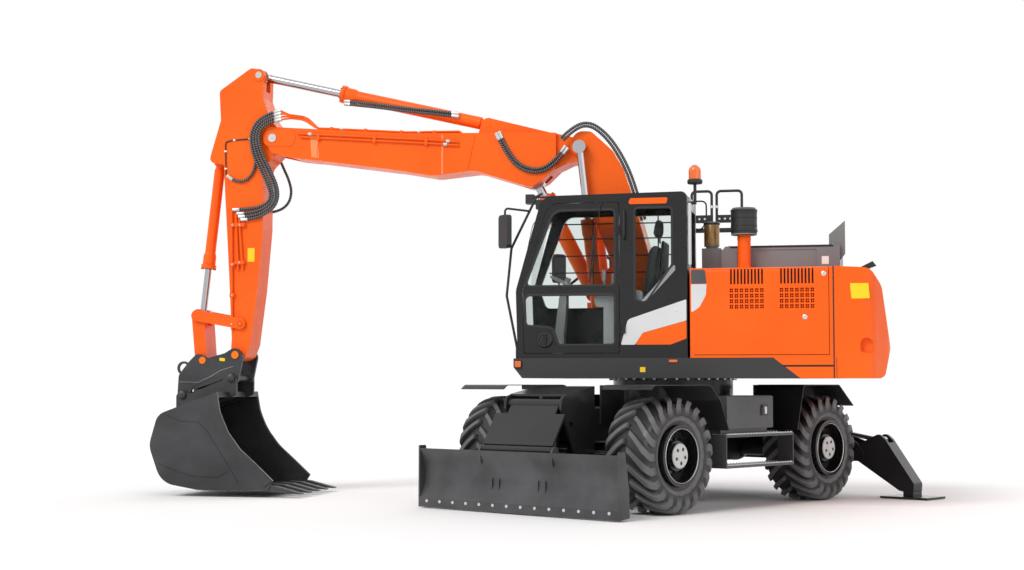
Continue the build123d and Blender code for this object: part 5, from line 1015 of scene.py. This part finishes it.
base_route = np.array([(1.150, 0.262, 3.880), (1.010, 0.262, 4.010), (0.870, 0.232, 4.045),
                       (0.740, 0.192, 3.960),
                       (0.608, 0.183, 3.800), (0.481, 0.183, 3.570), (0.383, 0.183, 3.290),
                       (0.303, 0.183, 3.000)])
base_pair = [base_route, beside(base_route, -BUNDLE)]
left_route = np.array([(4.400, NEAR_Y, 4.262), (4.590, NEAR_Y, 4.230), (4.705, NEAR_Y, 4.090),
                       (4.672, NEAR_Y, 3.863), (4.560, NEAR_Y - 0.015, 3.660), (4.455, NEAR_Y - 0.030, 3.420),
                       (4.490, NEAR_Y - 0.045, 3.275), (4.610, ARM_Y + 0.008, 3.195), (4.770, ARM_Y, 3.190),
                       (4.900, ARM_Y, 3.205)])
right_route = np.array([(4.640, -NEAR_Y, 3.960), (4.560, -NEAR_Y, 3.770), (4.470, 0.015 - NEAR_Y, 3.600),
                        (4.425, 0.035 - NEAR_Y, 3.440), (4.470, 0.052 - NEAR_Y, 3.300),
                        (4.600, -ARM_Y, 3.225), (4.740, -ARM_Y, 3.215)])
arm_pair = [beside(left_route, gap * BUNDLE) + (0, out, 0)
            for gap, out in ((-0.95, 0.010), (0, 0), (1, 0), (1.95, -0.006))]
for route, tail_x, tail_z in zip(arm_pair, (4.885, 4.915, 4.930, 4.985), (3.108, 3.143, 3.180, 3.226)):
    route[-2:] = (4.760, ARM_Y + 0.004, tail_z + 0.006), (tail_x, ARM_Y, tail_z)
for name, routes, node, first_body, last_body, start, end in (
        ("base_boom_hose_bundle", base_pair, "base_boom_hoses", "upper_boom", "base_boom", (1.05, 0, 3.98),
         (0.78, 0, 3.98)),
        ("arm_hose_bundle", arm_pair + [right_route], "arm_hoses", "upper_boom", "arm", (4.60, 0, 4.15),
         (4.50, 0, 3.50))):
    bundle = hose_piece(name, routes)
    shape = bmesh.new()
    shape.from_mesh(bundle.data)
    bmesh.ops.recalc_face_normals(shape, faces=shape.faces)
    shape.to_mesh(bundle.data)
    shape.free()
    bundle.data.shade_smooth()
    bundle.data.materials.append(hose_rubber)
    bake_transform(bundle)
    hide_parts(node)
fitted("arm_hose_ends", sleeves(arm_pair + [right_route], (-1,)), bright_steel, "arm")
fitted("nose_hose_ends", sleeves(arm_pair, (0,)), bright_steel, "upper_boom")


# ---------------------------------------------------------------- cylinder glands
# The head of each hydraulic cylinder is a flange round the rod, held by a ring of screws.  Those
# of the two boom cylinders are narrower, because the base boom lies between them.
def gland(base, top, short, bore, y, wide):
    """Flange and screws at the mouth of a cylinder from base to top (x, z).

    The flange's radius is wide times the bore; short is how long the barrel is.
    """
    way = np.array([top[0] - base[0], 0, top[1] - base[1]])
    way /= np.linalg.norm(way)
    mouth = machine([base[0], y, base[1]]) + way * (short - 1.05 * bore - 0.035)
    body = min(1.22, wide - 0.03) * bore
    rim = wide * bore
    flange = turned([(0.80 * bore, -0.190), (1.01 * bore, -0.190), (body, -0.150), (body, -0.052),
                     (rim - 0.002, -0.048), (rim, -0.044), (rim, -0.008), (rim - 0.003, -0.004),
                     (0.72 * bore, -0.002), (0.70 * bore, -0.034), (0.80 * bore, -0.190)], mouth, way, 40)
    ring = hex_heads(circle_of(10, (wide - 0.15) * bore, mouth - 0.005 * way, way), way,
                     0.08 * bore + 0.003, 0.012)
    return flange, ring


for name, base, top, short, bore, places, wide in (
        ("arm_cylinder_barrel", (2.030, 4.120), (4.702, 4.765), 1.880, 0.070, (0,), 1.44),
        ("boom_cylinder_barrels", (0.720, 1.620), (0.960, 3.800), 1.500, 0.068, (-0.287, 0.287), 1.20),
        ("positioning_barrel", (0.850, 2.220), (1.490, 3.465), 1.330, 0.084, (0,), 1.44),
        ("bucket_cylinder_barrel", (5.221, 3.800), (5.419, 2.023), 1.340, 0.060, (0,), 1.44)):
    flanges, rings = zip(*[gland(base, top, short, bore, y, wide) for y in places])
    fitted(name + "_gland", joined(flanges), orange_paint, name)
    fitted(name + "_screws", joined(rings), rim_paint, name)


# ---------------------------------------------------------------- boom and arm fittings
# Steel pressure lines in welded clamps run along the boom and down the arm's left side.  Pale
# covers close the pins, each with a grease nipple, and weld beads join the plates.
ARM_SIDE, BOOM_SIDE = 0.155, 0.200
ARM_LINE_Y, BOOM_LINE_Y = ARM_SIDE + 0.018, BOOM_SIDE + 0.018
lines = joined([rod([(x0 - 0.022, ARM_LINE_Y, z0), (x0, ARM_LINE_Y, z0), (x1, ARM_LINE_Y, z1)], 0.0135)
                for x0, z0, x1, z1 in ((4.918, 3.108, 4.868, 2.536), (4.958, 3.176, 4.925, 2.538),
                                       (5.010, 3.226, 4.990, 1.856))])
fitted("arm_pressure_lines", lines, orange_paint, "arm")
top_lines = []
for k, route in enumerate(arm_pair):
    start, y = route[0], 0.165 - 0.036 * k
    crest = min(start[2] + 0.004 - 0.012 * k, 4.272)
    top_lines.append(rod([start, (start[0] - 0.110, start[1] - 0.004, crest + 0.008), (4.150, y, crest),
                          (4.000, y, 4.128), (3.880, y, 4.121), (2.950, y, 4.048), (2.330, y, 4.036)], 0.011))
fitted("boom_top_lines", joined(top_lines), orange_paint, "upper_boom")
saddles = [block((x - 0.018, 0.040, z - 0.012), (x + 0.018, 0.186, z + 0.030), 0.005)
           for x, z in ((3.820, 4.104), (3.420, 4.072), (3.000, 4.038), (2.620, 4.024))]
saddles += [block((x - 0.016, BOOM_SIDE - 0.002, z - 0.046), (x + 0.016, BOOM_SIDE + 0.034, z + 0.046), 0.005)
            for x, z in ((3.960, 4.025), (3.300, 3.975), (2.700, 3.928))]
fitted("boom_line_saddles", joined(saddles), orange_paint, "upper_boom")
unions = [turned([(0, -0.022), (0.015, -0.022), (0.018, -0.018), (0.018, 0.018), (0.015, 0.022), (0, 0.022)],
                 machine([x, y, z]), (1, 0, 0.078), 6)
          for x, y, z in ((3.700, 0.165, 4.1065), (3.560, 0.095, 4.0955), (2.800, 0.165, 4.045),
                          (2.450, BOOM_LINE_Y, 3.922), (2.480, BOOM_LINE_Y, 3.888),
                          (4.060, BOOM_LINE_Y, 4.056))]
fitted("boom_line_unions", joined(unions), bright_steel, "upper_boom")
boss_rows = [(4.630, 3.935, 0.090), (4.250, 3.925, 0.080), (4.240, 4.115, 0.080), (4.620, 4.128, 0.090)]
bosses = joined([side_panel(boss_rows, side * (BOOM_SIDE - 0.001), side * (BOOM_SIDE + 0.0065), 12)
                 for side in (1, -1)])
fitted("boom_nose_plates", bosses, orange_paint, "upper_boom")
# Two pale orange strips on each side of the boom, one by the nose weld and one near the base: painted highlights.
orange_highlight = lacquer("orange_highlight", (252, 146, 92), (249, 136, 80), 0.3)
highlight_strips = joined([side_panel(rows, side * (BOOM_SIDE - 0.001), side * (BOOM_SIDE + 0.0030)) for side in (1, -1)
                for rows in ([(4.066, 4.060, 0), (3.975, 4.055, 0), (3.955, 3.785, 0), (4.046, 3.795, 0)],
                             [(2.530, 4.000, 0), (2.512, 4.000, 0), (2.512, 3.560, 0), (2.530, 3.560, 0)])])
fitted("boom_painted_highlights", highlight_strips, orange_highlight, "upper_boom")
ram_route = np.array([(3.700, 0.050, 4.448), (3.602, 0.080, 4.428), (3.300, 0.093, 4.385),
                      (2.952, 0.096, 4.327), (2.650, 0.094, 4.290), (2.371, 0.085, 4.250)])
ram_pair = [ram_route, ram_route + (0, -0.004, -0.034)]
smooth_piece(hose_piece("arm_cylinder_hoses", ram_pair), hose_rubber, "arm_cylinder_barrel", 80)
fitted("arm_cylinder_hose_ends", sleeves(ram_pair, (0, -1)), bright_steel, "arm_cylinder_barrel")
thin_pipe = rod([(x, ARM_SIDE + 0.008, z)
                 for x, z in ((4.690, 4.040), (5.022, 4.023), (5.098, 4.006), (5.087, 3.622))], 0.007)
fitted("arm_grease_line", thin_pipe, seal_rubber, "arm")
clips = joined([block((x - 0.014, ARM_SIDE - 0.001, z - 0.010), (x + 0.014, ARM_SIDE + 0.018, z + 0.010),
                      0.003)
                for x, z in ((4.800, 4.034), (4.990, 4.025), (5.096, 3.900), (5.090, 3.700))])
fitted("arm_line_clips", clips, clamp_white, "arm")
loop_route = np.array([(5.062, ARM_LINE_Y, 3.616), (4.990, ARM_LINE_Y, 3.560), (4.870, ARM_LINE_Y, 3.540),
                       (4.770, ARM_LINE_Y, 3.610),
                       (4.715, ARM_SIDE + 0.020, 3.756), (4.735, ARM_SIDE + 0.024, 3.900)])
smooth_piece(hose_piece("arm_loop_hose", [loop_route]), hose_rubber, "arm", 80)
fitted("arm_loop_sleeve", sleeves([loop_route], (0,)), bright_steel, "arm")
boom_lines = joined([rod([(x, BOOM_LINE_Y, z) for x, z in run], 0.011)
                     for run in (((4.214, 4.068), (2.600, 3.940), (2.330, 3.912)),
                                 ((4.180, 4.028), (2.600, 3.900), (2.330, 3.872)))])
fitted("boom_pressure_lines", boom_lines, orange_paint, "upper_boom")


clamp_at = [(4.902, z, 0.060) for z in (3.05, 2.62)] + [(4.991, z, 0.028) for z in (3.05, 2.60, 2.25, 1.92)]
clamps = joined([block((x - half, ARM_SIDE - 0.002, z - 0.022), (x + half, ARM_SIDE + 0.040, z + 0.022))
                 for x, z, half in clamp_at])
fitted("arm_line_clamps", clamps, orange_paint, "arm")
heads = hex_heads(machine([(x, ARM_SIDE + 0.040, z) for x, z, _ in clamp_at]), (0, 1, 0), 0.008, 0.007)
fitted("arm_clamp_bolts", heads, bright_steel, "arm")


def pin_cover(x, z, y, radius, side=1):
    """Dished round cover with a raised rim and a nipple in the middle, facing out on one side."""
    profile = [(0, 0), (radius, 0), (radius, 0.006), (0.93 * radius, 0.009), (0.82 * radius, 0.009),
               (0.78 * radius, 0.005), (0.2 * radius, 0.005), (0.16 * radius, 0.014), (0.08 * radius, 0.018),
               (0, 0.018)]
    return turned(profile, machine([x, side * y, z]), (0, side, 0), 40)


boom_nose = joined([pin_cover(4.514, 4.029, 0.2120, 0.048, side) for side in (1, -1)])
fitted("boom_nose_pin_covers", boom_nose, pale_cover, "upper_boom")
arm_pins = joined([pin_cover(x, z, y, r, side) for side in (1, -1)
                   for x, z, y, r in ((4.702, 4.765, 0.1655, 0.038), (4.920, 1.571, 0.1755, 0.036),
                                      (4.890, 1.927, 0.1900, 0.030))])
fitted("arm_pin_covers", arm_pins, pale_cover, "arm")


def weld(points, size=0.006, pitch=0.012, up=(0, 1, 0)):
    """Fillet weld: bead whose radius ripples with the cosine of the run, one ripple per pitch."""
    points = machine(points)
    runs = np.r_[0, np.cumsum(np.linalg.norm(np.diff(points, axis=0), axis=1))]
    along = np.arange(0, runs[-1], pitch / 4)
    path = np.stack([np.interp(along, runs, points[:, k]) for k in range(3)], -1)
    shell, faces = carried(round_section(size, 6), path, up)
    ring = shell.reshape(-1, 6, 3)
    ripple = 1 + 0.18 * np.cos(2 * pi * along / pitch)
    return (path[:, None] + (ring - path[:, None]) * ripple[:, None, None]).reshape(-1, 3), faces


boom_welds = joined([weld([(x, s * (BOOM_SIDE + 0.001), z) for x, z in run])
                     for run in (((3.960, 4.060), (3.980, 3.800)), ((2.150, 3.980), (2.230, 3.610)))
                     for s in (1, -1)])
fitted("boom_welds", boom_welds, orange_paint, "upper_boom")
arm_label = side_panel(oblong(4.735, 4.818, 2.630, 2.785, 0.006), ARM_SIDE - 0.0005, ARM_SIDE + 0.0012)
fitted("blank_arm_label", arm_label, blank_yellow, "arm")


# ---------------------------------------------------------------- coupler and bucket
# The quick coupler's pins end in painted caps and its latch in round bosses; a lifting eye
# stands at the back.  Weld beads run along the bucket's side plates, whose edges are worn bright;
# the light grey of the coupler's bead and of the lip is a painted highlight, over real wear on the lip.
COUPLER_SIDE, BUCKET_SIDE = 0.240, 0.600
cap_orange = lacquer("cap_orange", (250, 128, 30), (244, 118, 22), 0.35)
caps = joined([pin_cover(5.316, 1.512, COUPLER_SIDE, 0.040, side) for side in (1, -1)])
fitted("coupler_link_caps", caps, cap_orange, "bucket")
front_caps = joined([pin_cover(4.920, 1.571, COUPLER_SIDE + 0.008, 0.044, side) for side in (1, -1)])
fitted("coupler_pin_caps", front_caps, cap_orange, "bucket")
domes = [turned([(0, 0), (0.050, 0), (0.050, 0.014), (0.046, 0.022), (0.030, 0.030), (0, 0.033)],
                machine([x, side * (COUPLER_SIDE + 0.0303), z]), (0, side, 0), 32)
         for side in (1, -1) for x, z in ((4.959, 1.312), (5.543, 1.119))]
fitted("bucket_pin_domes", joined(domes), worn_steel, "bucket")
eye = turned([(0.052, -0.010), (0.060, -0.014), (0.072, -0.014), (0.080, -0.010), (0.080, 0.010),
              (0.072, 0.014),
              (0.060, 0.014), (0.052, 0.010), (0.052, -0.010)], machine([5.646, 0.0, 1.426]), (0, 1, 0), 40)
fitted("coupler_lifting_eye", eye, worn_steel, "bucket")
tag = side_panel([(5.045, 1.500, 0.005), (5.110, 1.506, 0.005), (5.110, 1.540, 0.005), (5.045, 1.534, 0.005)],
                 COUPLER_SIDE - 0.0005, COUPLER_SIDE + 0.0012)
fitted("blank_coupler_tag", tag, blank_yellow, "bucket")
# Light grey steel painted along the coupler's weld bead as a highlight, and along the bucket's lip as a highlight
# over real wear.
weld_and_edge_highlight = cast_steel("weld_and_edge_highlight", (150, 150, 152), (108, 108, 110), 0.35)
bead_run = [(5.590, 1.268), (5.363, 1.262), (5.200, 1.335), (5.092, 1.398), (4.940, 1.442)]
beads = joined([weld([(x, s * (COUPLER_SIDE + 0.0012), z) for x, z in bead_run], 0.005) for s in (1, -1)])
fitted("coupler_bead", beads, weld_and_edge_highlight, "bucket")
side_runs = ([(5.573, 0.891), (5.430, 0.835), (5.213, 0.825), (5.111, 0.739), (4.977, 0.540),
              (4.842, 0.340), (4.730, 0.165)],
             [(5.675, 0.362), (5.439, 0.270), (5.239, 0.225), (4.973, 0.216), (4.858, 0.279)])
side_beads = joined([weld([(x, s * (BUCKET_SIDE + 0.0005), z) for x, z in run], 0.006)
                     for s in (1, -1) for run in side_runs])
fitted("bucket_side_beads", side_beads, worn_steel, "bucket")
lip = [(4.3180, 0.1860), (4.4940, 0.3470), (4.7060, 0.5310), (4.8250, 0.6850), (4.8760, 0.7700),
       (4.9460, 0.9360),
       (4.9840, 1.1560)]
lips = joined([rod([(x - 0.001, s * (BUCKET_SIDE + 0.006), z) for x, z in lip], 0.0045, (0, 1, 0), 6)
               for s in (1, -1)])
fitted("bucket_lip_wear_and_highlight", lips, weld_and_edge_highlight, "bucket")
